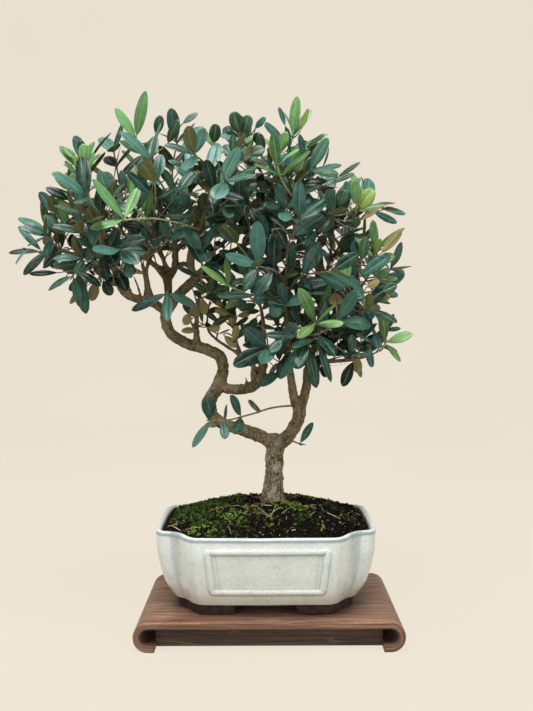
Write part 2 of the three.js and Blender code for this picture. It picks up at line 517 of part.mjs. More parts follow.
// ---------------------------------------------------------------- soil
function soilSolid(trunkHole) {
  const { edgeDrop, mound, roundness, lump, rings } = SOIL;
  const inset = POT.wall + GAP + 0.3;
  const edge = edgeDrop / POT.height;
  const floorShare = 1 - (POT.floor + GAP) / POT.height;
  const shares = POT.wallCurve.map(([share]) => share).filter((share) => share > edge + 0.02 && share < floorShare - 0.02);
  const level = (share) => planRing(planAt(share, inset), POT_RIM - share * POT.height);
  const brim = level(edge);
  const top = rings.toReversed().map((share, i) => brim.map((p, k) => {
    const bump = i === 0 ? 0 : lump * Math.sin(k * 2.1 + i * 1.7) * Math.cos(k * 0.8 - i * 2.3);
    const x = mix(4, p.x, share);
    return new THREE.Vector3(x, mix(0, p.y, share), p.z + mound * (1 - share ** roundness) + bump);
  }));
  const bulk = skin([...[floorShare, ...shares.toReversed()].map(level), ...top,
    [new THREE.Vector3(4, 0, brim[0].z + mound)]]);
  let earth = solid(bulk).subtract(trunkHole);
  const half = SCREEN.side / 2 + GAP;
  const bed = POT_BASE + POT.floor + GAP;
  for (const x of [POT.centreX - POT.hole.x, POT.centreX + POT.hole.x]) {
    earth = earth.subtract(solid(block([x - half, POT.centreY - half, bed - 2],
      [x + half, POT.centreY + half, bed + SCREEN.thickness + GAP])));
  }
  return earth;
}

// ---------------------------------------------------------------- wood
const limbSides = (radius) => (radius > 6.8 ? 10 : radius > 4.3 ? 8 : radius > 2.9 ? 6 : radius > 2.2 ? 5 : 4);
const limbStep = (radius) => (radius > 6.8 ? 9 : radius > 4.3 ? 12 : radius > 2.9 ? 17 : 24);

function woodSolid(grow = 0) {
  return fuse(Object.values(LIMBS).map((points) => {
    const radius = points[1][3];
    return solid(stem(points, { sides: limbSides(radius), step: limbStep(radius), grow }));
  }));
}

// ---------------------------------------------------------------- leafy shoots
/** What has been placed so far: points, the room that each needs, and the shoot that each belongs to. */
class Room {
  constructor() {
    this.taken = [];
  }

  take(points, room, owner) {
    for (const p of points) this.taken.push([p.x, p.y, p.z, room, owner]);
  }

  /** Whether points lie clear of all that is taken, by `more` than its own room. */
  isClear(points, ignored, more = 0) {
    for (const [x, y, z, room, owner] of this.taken) {
      if (owner === ignored) continue;
      const reach = (room + more) ** 2;
      for (const p of points) {
        if ((p.x - x) ** 2 + (p.y - y) ** 2 + (p.z - z) ** 2 < reach) return false;
      }
    }
    return true;
  }
}

/** One leaf blade: folded along its rib, bent back towards its tip, and rooted in its twig. */
class Blade {
  constructor(root, tip, facing, width) {
    const { sag } = BLADE;
    const chord = tip.clone().sub(root);
    this.up = facing.clone().addScaledVector(chord, -facing.dot(chord) / chord.lengthSq()).normalize();
    const aim = tip.clone().addScaledVector(this.up, sag * chord.length());
    this.root = root;
    this.length = aim.distanceTo(root);
    this.forward = aim.sub(root).normalize();
    this.side = this.forward.clone().cross(this.up).normalize();
    this.up = this.side.clone().cross(this.forward);
    this.halfWidth = width / 2;
  }

  /** A point of the blade's middle surface; `across` runs from margin (-1) to margin (1). */
  point(share, across, profile = Math.sin(Math.PI * share ** 1.25) ** 0.7) {
    const out = across * this.halfWidth * profile;
    return this.root.clone().addScaledVector(this.forward, this.length * share)
      .addScaledVector(this.up, BLADE.fold * Math.abs(out) - BLADE.sag * this.length * share * share)
      .addScaledVector(this.side, out);
  }

  /** Points that stand for the blade when room is looked for. */
  cloud() {
    const points = [];
    for (let i = 0; i < BLADE.along; i++) {
      const share = 0.2 + (0.8 * i) / (BLADE.along - 1);
      for (let k = 0; k < BLADE.across; k++) points.push(this.point(share, 0.9 * (-1 + (2 * k) / (BLADE.across - 1))));
    }
    return points;
  }

  /** The four points round the blade at a share of its length: under the rib, margin, over the rib, margin. */
  ring(share, profile) {
    const rib = this.point(share, 0);
    const half = BLADE.thickness / 2;
    return [rib.clone().addScaledVector(this.up, -half), this.point(share, -1, profile),
      rib.clone().addScaledVector(this.up, half), this.point(share, 1, profile)];
  }
}

/** A twig of square section as one closed skin with its blades, two to four of them at a joint. */
class ShootSkin {
  constructor() {
    this.positions = [];
    this.faces = [];
  }

  ring(points) {
    return points.map((p) => {
      this.positions.push(p.x, p.y, p.z);
      return this.positions.length / 3 - 1;
    });
  }

  pointAt(index) {
    return new THREE.Vector3().fromArray(this.positions, index * 3);
  }

  /** Faces between two rings of four. */
  join(from, to, alternate = false) {
    for (let k = 0; k < 4; k++) {
      const next = (k + 1) % 4;
      if (alternate && k % 2) this.faces.push(from[k], from[next], to[k], from[next], to[next], to[k]);
      else this.faces.push(from[k], from[next], to[next], from[k], to[next], to[k]);
    }
  }

  /** Faces round a joint, with a blade at each side that has one. */
  joint(low, middle, high, blades) {
    for (let k = 0; k < 4; k++) {
      const [next, before] = [(k + 1) % 4, (k + 3) % 4];
      this.faces.push(low[k], low[next], middle[k], high[next], high[k], middle[k]);
      if (blades[k]) this.blade([low[k], middle[k], high[k], middle[before]], blades[k]);
      else this.faces.push(low[k], middle[k], middle[before], high[k], middle[before], middle[k]);
    }
  }

  blade(opening, blade) {
    const rings = BLADE.stations.map(([share, profile]) => this.ring(blade.ring(share, profile)));
    const centre = opening.reduce((sum, index) => sum.add(this.pointAt(index)), new THREE.Vector3()).divideScalar(4);
    const spokes = [blade.up.clone().negate(), blade.side.clone().negate(), blade.up, blade.side];
    const match = (shift) => spokes.reduce((sum, spoke, k) => sum
      + spoke.dot(this.pointAt(opening[(k + shift) % 4]).sub(centre)), 0);
    const shift = [0, 1, 2, 3].reduce((best, j) => (match(j) > match(best) ? j : best));
    let from = opening.map((_, k) => opening[(k + shift) % 4]);
    for (const ring of rings) {
      this.join(from, ring, true);
      from = ring;
    }
    const [tip] = this.ring([blade.point(1, 0)]);
    for (let k = 0; k < 4; k++) this.faces.push(from[k], from[(k + 1) % 4], tip);
  }

  geometry() {
    const geometry = new THREE.BufferGeometry();
    geometry.setAttribute("position", new THREE.Float32BufferAttribute(this.positions, 3));
    geometry.setIndex(this.faces);
    return geometry;
  }
}

/** The four directions square to a twig at a share of its length, turned by the shoot's own angle. */
function squareTo(line, share, turn) {
  const chord = vector(line.at(-1)).sub(vector(line[0])).normalize();
  const first = new THREE.Vector3(0.8, 0.5, 0.3).cross(chord).normalize().applyAxisAngle(chord, turn);
  const forward = heading(line, share);
  first.addScaledVector(forward, -first.dot(forward)).normalize();
  const second = forward.clone().cross(first);
  return [first, second, first.clone().negate(), second.clone().negate()];
}

/** The skin of a twig and of the blades at its joints. */
function shootGeometry(line, turn, joints) {
  const shoot = new ShootSkin();
  const length = lineLength(line);
  const ringAt = (share, between = false) => {
    const at = along(line, share);
    const square = squareTo(line, share, turn);
    const reach = at[3] * (between ? 1.05 : 1);
    return shoot.ring(square.map((out, k) => {
      const spoke = between ? out.clone().add(square[(k + 1) % 4]).normalize() : out;
      return vector(at).addScaledVector(spoke, reach);
    }));
  };
  let previous = ringAt(0);
  let reached = 0;
  shoot.faces.push(previous[0], previous[2], previous[1], previous[0], previous[3], previous[2]);
  for (const [place, blades] of [...joints].sort(([a], [b]) => a - b)) {
    const speed = vector(along(line, place + 0.02)).distanceTo(vector(along(line, place - 0.02))) / (place > 0.98 ? 0.02 : 0.04);
    const half = TWIG.joint / speed;
    const middle = Math.min(place, 1 - half);
    const count = Math.max(1, Math.round(((middle - half - reached) * length) / TWIG.step));
    for (let i = 1; i <= count; i++) {
      const ring = ringAt(mix(reached, middle - half, i / count));
      shoot.join(previous, ring);
      previous = ring;
    }
    const high = ringAt(middle + half);
    shoot.joint(previous, ringAt(middle, true), high, blades);
    previous = high;
    reached = middle + half;
  }
  shoot.faces.push(previous[0], previous[1], previous[2], previous[0], previous[2], previous[3]);
  return shoot.geometry();
}

/** A twig's line of [x, y, z, radius], from its limb through the points that it is led by. */
function twigLine({ on: [limb, share], to }, dice, wander) {
  const points = LIMBS[limb];
  const start = vector(along(points, share));
  const away = heading(points, share);
  if (share === 1) start.addScaledVector(away, GAP);
  const guides = to.map(vector);
  if (guides.length === 1) {
    const reach = guides[0].distanceTo(start);
    const lead = guides[0].clone().sub(start).normalize().multiplyScalar(share === 1 ? 0.8 : 1.5).add(away);
    guides.unshift(start.clone().addScaledVector(lead.normalize(), reach * 0.45));
  }
  if (wander) guides[0].add(new THREE.Vector3(dice.spread(wander), dice.spread(wander), dice.spread(wander)));
  const line = [start, ...guides];
  return line.map((p, i) => [p.x, p.y, p.z, mix(TWIG.base, TWIG.tip, i / (line.length - 1))]);
}

function twigCloud(line, skipped) {
  const count = Math.ceil(lineLength(line) / 2.5);
  const start = vector(line[0]);
  return Array.from({ length: count + 1 }, (_, i) => vector(along(line, i / count)))
    .filter((p) => p.distanceTo(start) >= skipped);
}

/** Leaves given by their place on the twig, tip and width, each at the side of its joint that it leaves from. */
function givenLeaves(shoot, line, turn, room, owner) {
  const joints = new Map();
  shoot.leaves.forEach(([share, tip, width, turnedOver], number) => {
    const dice = new Dice(owner * 100 + number);
    const root = vector(along(line, share));
    if (!joints.has(share)) joints.set(share, [null, null, null, null]);
    const sides = joints.get(share);
    const leaving = squareTo(line, share, turn).map((out, k) => (sides[k] ? -1e6 : out.dot(vector(tip).sub(root))));
    const side = leaving.indexOf(Math.max(...leaving));
    for (let attempt = 0; attempt < 12 && !sides[side]; attempt++) {
      const reach = vector(tip).distanceTo(root) * 0.05 * attempt;
      const moved = vector(tip).add(new THREE.Vector3(dice.spread(reach), dice.spread(reach), dice.spread(reach)));
      const facing = new THREE.Vector3(dice.spread(0.35), -0.7, 0.7).multiplyScalar(turnedOver ? -1 : 1);
      const blade = new Blade(root, moved, facing, width);
      if (!room.isClear(blade.cloud(), owner)) continue;
      sides[side] = blade;
      room.take(blade.cloud(), BLADE.room, -1);
    }
  });
  return joints;
}

/** Leaves look out of the crown, upward and to the front of the tree. */
const CROWN_MIDDLE = new THREE.Vector3(-15, 0, 370);

/** Leaves by rule: opposite pairs, each a quarter turn from the last, and two pairs crossed at the tip. */
function ruledLeaves(line, turn, room, owner) {
  const joints = new Map();
  const length = lineLength(line);
  const pairs = Math.max(1, Math.round((length * (0.96 - TWIG.bare)) / TWIG.internode) - 1);
  for (let pair = 0; pair <= pairs; pair++) {
    const share = pair === pairs ? 1 : mix(TWIG.bare, 1, pair / (pairs + 0.3));
    const root = vector(along(line, share));
    const forward = heading(line, share);
    const sides = [null, null, null, null];
    const first = pair % 2;
    for (const side of pair === pairs ? [first, first + 2, 1 - first, 3 - first] : [first, first + 2]) {
      const outer = pair < pairs || side % 2 !== first;
      const dice = new Dice(owner * 100 + pair * 4 + side);
      const size = 32 + dice.spread(6);
      const width = size * (0.4 + dice.spread(0.05));
      for (let attempt = 0; attempt < 10 && !sides[side]; attempt++) {
        const aside = dice.spread(Math.min(10 + 5 * attempt, 45));
        const splay = (outer ? 62 : 34) + dice.spread(10 + 2 * attempt);
        const out = squareTo(line, share, turn)[side].applyAxisAngle(forward, radians(aside));
        const reach = size * (1 - 0.04 * attempt);
        const tip = root.clone().addScaledVector(forward, reach * Math.cos(radians(splay)))
          .addScaledVector(out, reach * Math.sin(radians(splay)));
        tip.z += 0.1 * reach;
        const facing = root.clone().sub(CROWN_MIDDLE).normalize().multiplyScalar(0.35)
          .addScaledVector(forward, 0.45).add(new THREE.Vector3(0, -0.5, 0.6));
        const blade = new Blade(root, tip, facing, width);
        if (!room.isClear(blade.cloud(), owner)) continue;
        sides[side] = blade;
        room.take(blade.cloud(), BLADE.room, -1);
      }
    }
    joints.set(share, sides);
  }
  return joints;
}

/** Every shoot's twig and blades, in room that they don't have to share. */
function growShoots() {
  const room = new Room();
  for (const points of Object.values(LIMBS)) {
    const count = Math.ceil(lineLength(points) / 3);
    for (let i = 0; i <= count; i++) {
      const at = along(points, i / count);
      room.take([vector(at)], at[3] + 1.4, 0);
    }
  }
  const shoots = SHOOTS.map((shoot, index) => {
    const owner = index + 1;
    const radius = along(LIMBS[shoot.on[0]], shoot.on[1])[3];
    const dice = new Dice(owner * 31);
    const turn = dice.roll() * Math.PI;
    let line;
    for (let attempt = 0; attempt < 14; attempt++) {
      line = twigLine(shoot, dice, attempt * 1.2);
      if (room.isClear(twigCloud(line, radius + (shoot.on[1] === 1 ? 3 : 9)), owner, 0.7)) break;
    }
    room.take(twigCloud(line, 0), TWIG.room, owner);
    return { ...shoot, line, turn, owner };
  });
  for (const shoot of shoots) if (shoot.leaves) shoot.joints = givenLeaves(shoot, shoot.line, shoot.turn, room, shoot.owner);
  for (const shoot of shoots) shoot.joints ??= ruledLeaves(shoot.line, shoot.turn, room, shoot.owner);
  return shoots;
}

// ---------------------------------------------------------------- assembly
const bonsai = new THREE.Group();

function place(name, geometry, finish) {
  const mesh = new THREE.Mesh(geometry, new THREE.MeshStandardMaterial(finish));
  mesh.name = name;
  bonsai.add(mesh);
}

place("display_stand", geometryOf(standSolid()), STAND_WOOD);
place("pot_with_feet", geometryOf(potSolid()), GLAZE);
place("drain_screen_left", geometryOf(screenSolid(POT.centreX - POT.hole.x)), SCREEN_PLASTIC);
place("drain_screen_right", geometryOf(screenSolid(POT.centreX + POT.hole.x)), SCREEN_PLASTIC);

const trunkHole = solid(stem(LIMBS.trunk, { sides: 10, step: 8, grow: GAP }));
place("soil", geometryOf(soilSolid(trunkHole)), SOIL_DARK);
place("tree_wood", geometryOf(woodSolid()), BARK);

const clearance = woodSolid(GAP);
const grown = {};
for (const { young, on: [limb, share], line, turn, joints } of growShoots()) {
  grown[limb] = (grown[limb] ?? 0) + 1;
  let shoot = solid(shootGeometry(line, turn, joints));
  if (share < 1) shoot = largest(shoot.subtract(clearance));
  place(`${young ? "young" : "leafy"}_shoot_${limb}_${grown[limb]}`, geometryOf(shoot), young ? YOUNG_LEAF : MATURE_LEAF);
}

const bounds = new THREE.Box3().setFromObject(bonsai);
const middle = bounds.getCenter(new THREE.Vector3());
bonsai.position.set(-middle.x, -middle.y, -bounds.min.z);

export default bonsai;
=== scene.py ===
"""Dresses a small olive bonsai: the tree, its glazed pot with soil and moss, and its wooden stand."""

import json
import logging
import math
from dataclasses import dataclass, field
from enum import Enum
from itertools import product

import bmesh
import bpy
import numpy as np
from mathutils import Euler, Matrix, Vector, noise
from mathutils.geometry import tessellate_polygon
from mathutils.kdtree import KDTree

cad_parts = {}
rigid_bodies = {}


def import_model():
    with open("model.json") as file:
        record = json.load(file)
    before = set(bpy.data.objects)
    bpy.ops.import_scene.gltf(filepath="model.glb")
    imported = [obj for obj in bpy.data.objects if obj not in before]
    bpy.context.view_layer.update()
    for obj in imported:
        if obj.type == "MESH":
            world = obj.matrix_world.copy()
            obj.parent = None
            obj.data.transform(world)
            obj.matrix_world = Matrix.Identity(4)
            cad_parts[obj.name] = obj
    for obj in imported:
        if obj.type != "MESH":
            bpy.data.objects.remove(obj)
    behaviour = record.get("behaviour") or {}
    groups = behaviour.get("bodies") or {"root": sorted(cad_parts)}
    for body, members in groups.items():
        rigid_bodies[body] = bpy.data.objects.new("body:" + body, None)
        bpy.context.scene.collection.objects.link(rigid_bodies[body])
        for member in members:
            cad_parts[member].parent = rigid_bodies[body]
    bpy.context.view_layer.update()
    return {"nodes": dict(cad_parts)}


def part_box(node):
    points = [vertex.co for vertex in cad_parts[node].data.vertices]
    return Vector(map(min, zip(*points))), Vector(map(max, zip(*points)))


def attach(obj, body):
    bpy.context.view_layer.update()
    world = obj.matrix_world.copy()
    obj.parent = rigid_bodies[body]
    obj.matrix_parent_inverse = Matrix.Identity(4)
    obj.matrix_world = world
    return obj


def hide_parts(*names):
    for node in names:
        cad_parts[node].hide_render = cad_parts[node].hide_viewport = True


logging.basicConfig(level=logging.INFO, format="%(name)s: %(message)s")
LOG = logging.getLogger("bonsai")

Array = np.ndarray
Face = tuple[int, ...]
Material = bpy.types.Material
Pairs = tuple[tuple[float, float], ...]
Socket = bpy.types.NodeSocket
Triple = tuple[float, float, float]

for default in list(bpy.data.objects):
    bpy.data.objects.remove(default)
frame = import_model()

_STAND_LOW, _STAND_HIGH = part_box("display_stand")
SHIFT = np.array([(_STAND_LOW.x + _STAND_HIGH.x) / 2, (_STAND_LOW.y + _STAND_HIGH.y) / 2, 0.0])
MM = 0.001


# ---------------------------------------------------------------- small tools
def to_row(points: Array) -> Array:
    """Turns millimetres about the stand's middle into metres in the row frame.

    Args:
        points: one point or an array of points, in millimetres.

    Returns:
        The same points in metres.
    """
    return np.asarray(points, float) * MM + SHIFT


def unit(vector: Array) -> Array:
    """Gives a vector of length 1 along `vector`."""
    return vector / np.linalg.norm(vector)


def mix(low: float, high: float, share: float) -> float:
    """Gives the value a share of the way from low to high."""
    return low + (high - low) * share


class Dice:
    """A seeded dice, so that the tree grows the same way each time."""

    def __init__(self, seed: int) -> None:
        """Starts the dice.

        Args:
            seed: a whole number from 0 up.
        """
        self.state = ((seed * 7919) % 2147483646) + 1
        self.roll()

    def roll(self) -> float:
        """Gives the next number from 0 to 1."""
        self.state = (self.state * 16807) % 2147483647
        return self.state / 2147483647

    def spread(self, reach: float) -> float:
        """Gives the next number from -reach to reach."""
        return (self.roll() * 2 - 1) * reach


def held(value: float) -> float:
    """Keeps a number from 0 to 1."""
    return min(max(value, 0.0), 1.0)


def scattered(dice: Dice, *reaches: float) -> Array:
    """Gives a vector whose numbers stray by these reaches at most."""
    return np.array([dice.spread(reach) for reach in reaches])


def turned(vector: Array, axis: Array, angle: float) -> Array:
    """Turns a vector about a unit axis.

    Args:
        vector: what is turned.
        axis: a unit vector.
        angle: in radians, by the right-hand rule.

    Returns:
        The turned vector.
    """
    c, s = math.cos(angle), math.sin(angle)
    return vector * c + np.cross(axis, vector) * s + axis * np.dot(axis, vector) * (1 - c)


def along(points: Array, share: float) -> Array:
    """Gives the numbers of a smooth line through `points`.

    Args:
        points: rows of numbers, such as x, y, z and radius.
        share: how far along, from 0 to 1.

    Returns:
        One row of numbers.
    """
    last = len(points) - 1
    at = held(share) * last
    i = min(int(math.floor(at)), last - 1)
    u = at - i
    a, b, c, d = points[max(i - 1, 0)], points[i], points[i + 1], points[min(i + 2, last)]
    return 0.5 * (2 * b + (c - a) * u + (2 * a - 5 * b + 4 * c - d) * u * u + (3 * b - a - 3 * c + d) * u * u * u)


def rows_along(points: Array, count: int) -> Array:
    """Gives `count` + 1 rows of numbers, evenly spread along that line."""
    return np.array([along(points, i / count) for i in range(count + 1)])


def heading(points: Array, share: float) -> Array:
    """Gives the unit direction in which that line runs at a share of the way."""
    return unit(along(points, share + 0.02)[:3] - along(points, share - 0.02)[:3])


def line_length(points: Array) -> float:
    """Gives the length of the straight pieces between a line's points."""
    return float(sum(np.linalg.norm(points[i][:3] - points[i - 1][:3]) for i in range(1, len(points))))


@dataclass
class Skin:
    """Vertices and faces gathered for one piece, in millimetres, with numbers kept for its finish."""

    points: list[Array] = field(default_factory=list)
    faces: list[Face] = field(default_factory=list)
    slots: list[int] = field(default_factory=list)
    marks: dict[str, list[float]] = field(default_factory=dict)

    def add(self, points: Array, faces: list[Face], slot: int = 0, **marks: Array) -> None:
        """Adds a shape.

        Args:
            points: its vertices, in millimetres.
            faces: vertex numbers within this shape.
            slot: the material that its faces take.
            **marks: a number for each vertex, or one for all, by the name that the finish reads.
        """
        start = len(self.points)
        self.points.extend(points)
        self.faces.extend(tuple(start + i for i in face) for face in faces)
        self.slots.extend([slot] * len(faces))
        for name in set(self.marks) | set(marks):
            kept = self.marks.setdefault(name, [0.0] * start)
            value = marks.get(name, 0.0)
            kept.extend(np.broadcast_to(value, (len(points),)).tolist())

    def piece(self, name: str, materials: list[Material], slot: str, *nodes: str) -> bpy.types.Object:
        """Makes the Blender object, which rides on the part's body.

        Args:
            name: the piece's name.
            materials: its materials, in the order of the slots that `add` was given.
            slot: the record's material slot, handed on but not used.
            *nodes: the solids that it stands for.

        Returns:
            The new object.
        """
        mesh = bpy.data.meshes.new(name)
        mesh.from_pydata(to_row(np.array(self.points)).tolist(), [], self.faces)
        for key, values in self.marks.items():
            keep(mesh, key, values)
        mesh.polygons.foreach_set("material_index", np.array(self.slots, np.int32))
        mesh.shade_smooth()
        mesh.update()
        return settle(placed(name, mesh), materials, slot, *nodes)


def settle(made: bpy.types.Object, materials: list[Material], slot: str, *nodes: str) -> bpy.types.Object:
    """Gives a finished object its materials and its place in the part.

    Args:
        made: the object.
        materials: what it is made of.
        slot: the record's material slot; not used.
        *nodes: the solids that it stands for.

    Returns:
        The same object.
    """
    for material in materials:
        made.data.materials.append(material)
    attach(made, "root")
    if nodes:
        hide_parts(*nodes)
    LOG.info("%s: %d faces", made.name, len(made.data.polygons))
    return made


def outward(ring: Array) -> Array:
    """Gives the directions square to a ring of x and y, out of it where it runs anticlockwise.

    Args:
        ring: rows of x and y.

    Returns:
        One unit vector for each row.
    """
    ahead = np.roll(ring, -1, axis=0) - np.roll(ring, 1, axis=0)
    normal = np.column_stack([ahead[:, 1], -ahead[:, 0]])
    return normal / np.linalg.norm(normal, axis=1)[:, None]


def resampled(ring: Array, at: Array, index: Array) -> Array:
    """Reads a closed ring of x and y at the places `at`, where `index` gives the place of each of its points."""
    closed = np.vstack([ring, ring[:1]])
    return np.column_stack([np.interp(at, index, closed[:, 0]), np.interp(at, index, closed[:, 1])])


def reached(points: Array) -> Array:
    """Gives how far along a line each of its points lies."""
    return np.concatenate([[0], np.cumsum(np.linalg.norm(np.diff(points, axis=0), axis=1))])


def banded(bands: int, wide: int) -> list[Face]:
    """Gives the faces of the bands between closed rings of `wide` points each."""
    pairs = [(i * wide + k, i * wide + (k + 1) % wide) for i in range(bands) for k in range(wide)]
    return [(a, b, b + wide, a + wide) for a, b in pairs]


def capped(bands: int, wide: int) -> list[Face]:
    """Gives the same faces with a cap on the first ring and on the last."""
    return [*banded(bands, wide), tuple(reversed(range(wide))), tuple(range(bands * wide, (bands + 1) * wide))]


def turned_over(faces: list[Face]) -> list[Face]:
    """Gives faces that look the other way, from the same first point."""
    return [(face[0], *reversed(face[1:])) for face in faces]


def placed(name: str, data: bpy.types.ID) -> bpy.types.Object:
    """Makes an object in the scene.

    Args:
        name: the object's name.
        data: its mesh, lamp or camera.

    Returns:
        The new object.
    """
    made = bpy.data.objects.new(name, data)
    bpy.context.scene.collection.objects.link(made)
    return made


def keep(mesh: bpy.types.Mesh, name: str, values: Array) -> None:
    """Keeps a number for each vertex on a mesh, by the name that its finish reads."""
    mesh.attributes.new(name, "FLOAT", "POINT").data.foreach_set("value", np.array(values, np.float32))


def tube(line: Array, sides: int, step: float, swell: float = 0.0) -> tuple[Array, list[Face]]:
    """Makes a closed round stem.

    Args:
        line: rows of x, y, z and radius, in millimetres.
        sides: how many sides its section has.
        step: about how far apart its rings are.
        swell: how much its radius wavers, by share.

    Returns:
        Its vertices and faces.
    """
    count = max(2, round(line_length(line) / step))
    side = np.array([0.3, 1.0, 0.2])
    turns = np.arange(sides) * 2 * math.pi / sides
    points = []
    for i in range(count + 1):
        at = along(line, i / count)
        forward = heading(line, i / count)
        side = unit(side - forward * np.dot(side, forward))
        other = np.cross(forward, side)
        waver = 1 + swell * math.sin(i * 1.9 + at[0]) * math.cos(i * 0.7 + at[2])
        radius = at[3] * waver
        points.append(at[:3] + radius * (np.outer(np.cos(turns), side) + np.outer(np.sin(turns), other)))
    return np.vstack(points), capped(count, sides)


# ---------------------------------------------------------------- finishes
class Nodes:
    """A material's node tree, with a call for each kind of node that the finishes use."""

    def __init__(self, name: str) -> None:
        """Starts a material.

        Args:
            name: the material's name.
        """
        self.material = bpy.data.materials.new(name)
        self.material.use_nodes = True
        self.tree = self.material.node_tree
        self.tree.nodes.clear()
        self.output = self.node("ShaderNodeOutputMaterial")
        self.surface = self.node("ShaderNodeBsdfPrincipled")
        self.link(self.surface.outputs[0], self.output.inputs["Surface"])

    def node(self, kind: str, **settings: object) -> bpy.types.Node:
        """Adds a node and sets its own fields.

        Args:
            kind: the node's type.
            **settings: its fields by name.

        Returns:
            The new node.
        """
        made = self.tree.nodes.new(kind)
        for key, value in settings.items():
            setattr(made, key, value)
        return made

    def link(self, output: Socket, target: Socket) -> None:
        """Joins two sockets."""
        self.tree.links.new(output, target)

    def feed(self, target: Socket, value: object) -> None:
        """Joins a socket to `target`, or sets it to a plain value.

        Args:
            target: the socket that is fed.
            value: a socket, a number or a colour.
        """
        if isinstance(value, Socket):
            self.link(value, target)
        elif isinstance(value, tuple) and len(value) == 3 and target.type == "RGBA":
            target.default_value = (*value, 1.0)
        else:
            target.default_value = value

    def place(self, stretch: Triple = (1, 1, 1)) -> Socket:
        """Gives the place on the object in metres, stretched by a factor on each axis.

        Args:
            stretch: the factor on each axis.

        Returns:
            The place's socket.
        """
        coordinates = self.node("ShaderNodeTexCoord")
        mapping = self.node("ShaderNodeMapping")
        mapping.inputs["Scale"].default_value = stretch
        self.link(coordinates.outputs["Object"], mapping.inputs["Vector"])
        return mapping.outputs[0]

    def board(self, run: float, across: float, deep: float) -> Socket:
        """Gives the place in a bent board, along its run, across it and into it, each with its own scale.

        Args:
            run: features to a metre along the board.
            across: the same across it.
            deep: how much a ply shifts them.

        Returns:
            The place's socket.
        """
        joined = self.node("ShaderNodeCombineXYZ")
        parts = self.node("ShaderNodeSeparateXYZ")
        self.link(self.place(), parts.inputs[0])
        places = (self.mark("run"), parts.outputs[1], self.mark("ply"))
        for target, value, scale in zip(joined.inputs, places, (run, across, deep)):
            self.link(self.times(value, scale), target)
        return joined.outputs[0]

    def mark(self, name: str) -> Socket:
        """Gives a number kept on the mesh."""
        return self.node("ShaderNodeAttribute", attribute_name=name).outputs["Fac"]

    def grain(
        self, scale: float, detail: float = 3, rough: float = 0.5, place: Socket | None = None
    ) -> Socket:
        """Gives a soft cloudy number from 0 to 1.

        Args:
            scale: how many features to a metre.
            detail: how many finer layers it has.
            rough: how strong those layers are.
            place: where it is read, if not at the plain place on the object.

        Returns:
            The number's socket.
        """
        cloud = self.node("ShaderNodeTexNoise")
        cloud.inputs["Scale"].default_value = scale
        cloud.inputs["Detail"].default_value = detail
        cloud.inputs["Roughness"].default_value = rough
        self.link(place or self.place(), cloud.inputs["Vector"])
        return cloud.outputs["Fac"]

    def cells(self, scale: float, place: Socket | None = None) -> Socket:
        """Gives the distance to the nearest of many scattered points.

        Args:
            scale: how many points to a metre.
            place: where it is read, if not at the plain place on the object.

        Returns:
            The distance's socket.
        """
        cell = self.node("ShaderNodeTexVoronoi")
        cell.inputs["Scale"].default_value = scale
        self.link(place or self.place(), cell.inputs["Vector"])
        return cell.outputs["Distance"]

    def spread(
        self, value: Socket, low: float, high: float, to: tuple[float, float] = (0.0, 1.0)
    ) -> Socket:
        """Maps the stretch from low to high onto another, smoothly and with ends held.

        Args:
            value: the number that is mapped.
            low: where the stretch starts.
            high: where it ends.
            to: the stretch that it is mapped onto.

        Returns:
            The mapped number's socket.
        """
        made = self.node("ShaderNodeMapRange", interpolation_type="SMOOTHSTEP")
        self.feed(made.inputs["Value"], value)
        for name, number in (("From Min", low), ("From Max", high), ("To Min", to[0]), ("To Max", to[1])):
            made.inputs[name].default_value = number
        return made.outputs["Result"]

    def sum(self, kind: str, one: object, two: object) -> Socket:
        """Works out one step of arithmetic, such as MULTIPLY or ADD.

        Args:
            kind: the step.
            one: the first number or its socket.
            two: the second.

        Returns:
            The result's socket.
        """
        made = self.node("ShaderNodeMath", operation=kind)
        self.feed(made.inputs[0], one)
        self.feed(made.inputs[1], two)
        return made.outputs[0]

    def times(self, one: object, two: object) -> Socket:
        """Multiplies two numbers."""
        return self.sum("MULTIPLY", one, two)

    def blend(self, share: object, one: object, two: object) -> Socket:
        """Mixes two colours by a share from 0 to 1.

        Args:
            share: how much of the second shows.
            one: the first colour or its socket.
            two: the second.

        Returns:
            The mixed colour's socket.
        """
        made = self.node("ShaderNodeMix", data_type="RGBA")
        self.feed(made.inputs[0], share)
        self.feed(made.inputs[6], one)
        self.feed(made.inputs[7], two)
        return made.outputs[2]

    def relief(self, height: Socket, depth: float, strength: float = 1.0) -> None:
        """Gives the surface a fine relief.

        Args:
            height: the relief's height, from 0 to 1.
            depth: how deep it is, in metres.
            strength: how much of it shows.
        """
        bump = self.node("ShaderNodeBump")
        bump.inputs["Distance"].default_value = depth
        bump.inputs["Strength"].default_value = strength
        self.link(height, bump.inputs["Height"])
        self.link(bump.outputs[0], self.surface.inputs["Normal"])

    def finish(self, colour: object, roughness: object, **sockets: float) -> Material:
        """Sets the surface's colour, roughness and plain sockets, and gives the material.

        Args:
            colour: the colour or its socket.
            roughness: from 0 to 1, or its socket.
            **sockets: plain sockets by name, with _ for a space.

        Returns:
            The finished material.
        """
        self.feed(self.surface.inputs["Base Color"], colour)
        self.feed(self.surface.inputs["Roughness"], roughness)
        for name, value in sockets.items():
            self.surface.inputs[name.replace("_", " ")].default_value = value
        return self.material


def srgb(red: int, green: int, blue: int) -> Triple:
    """Turns a colour as a screen shows it, 0 to 255, into linear light."""
    parts = [v / 255 for v in (red, green, blue)]
    return tuple(v / 12.92 if v <= 0.04045 else ((v + 0.055) / 1.055) ** 2.4 for v in parts)


class LeafAge(Enum):
    """How old a shoot's leaves are."""

    MATURE = "mature"
    YOUNG = "young"


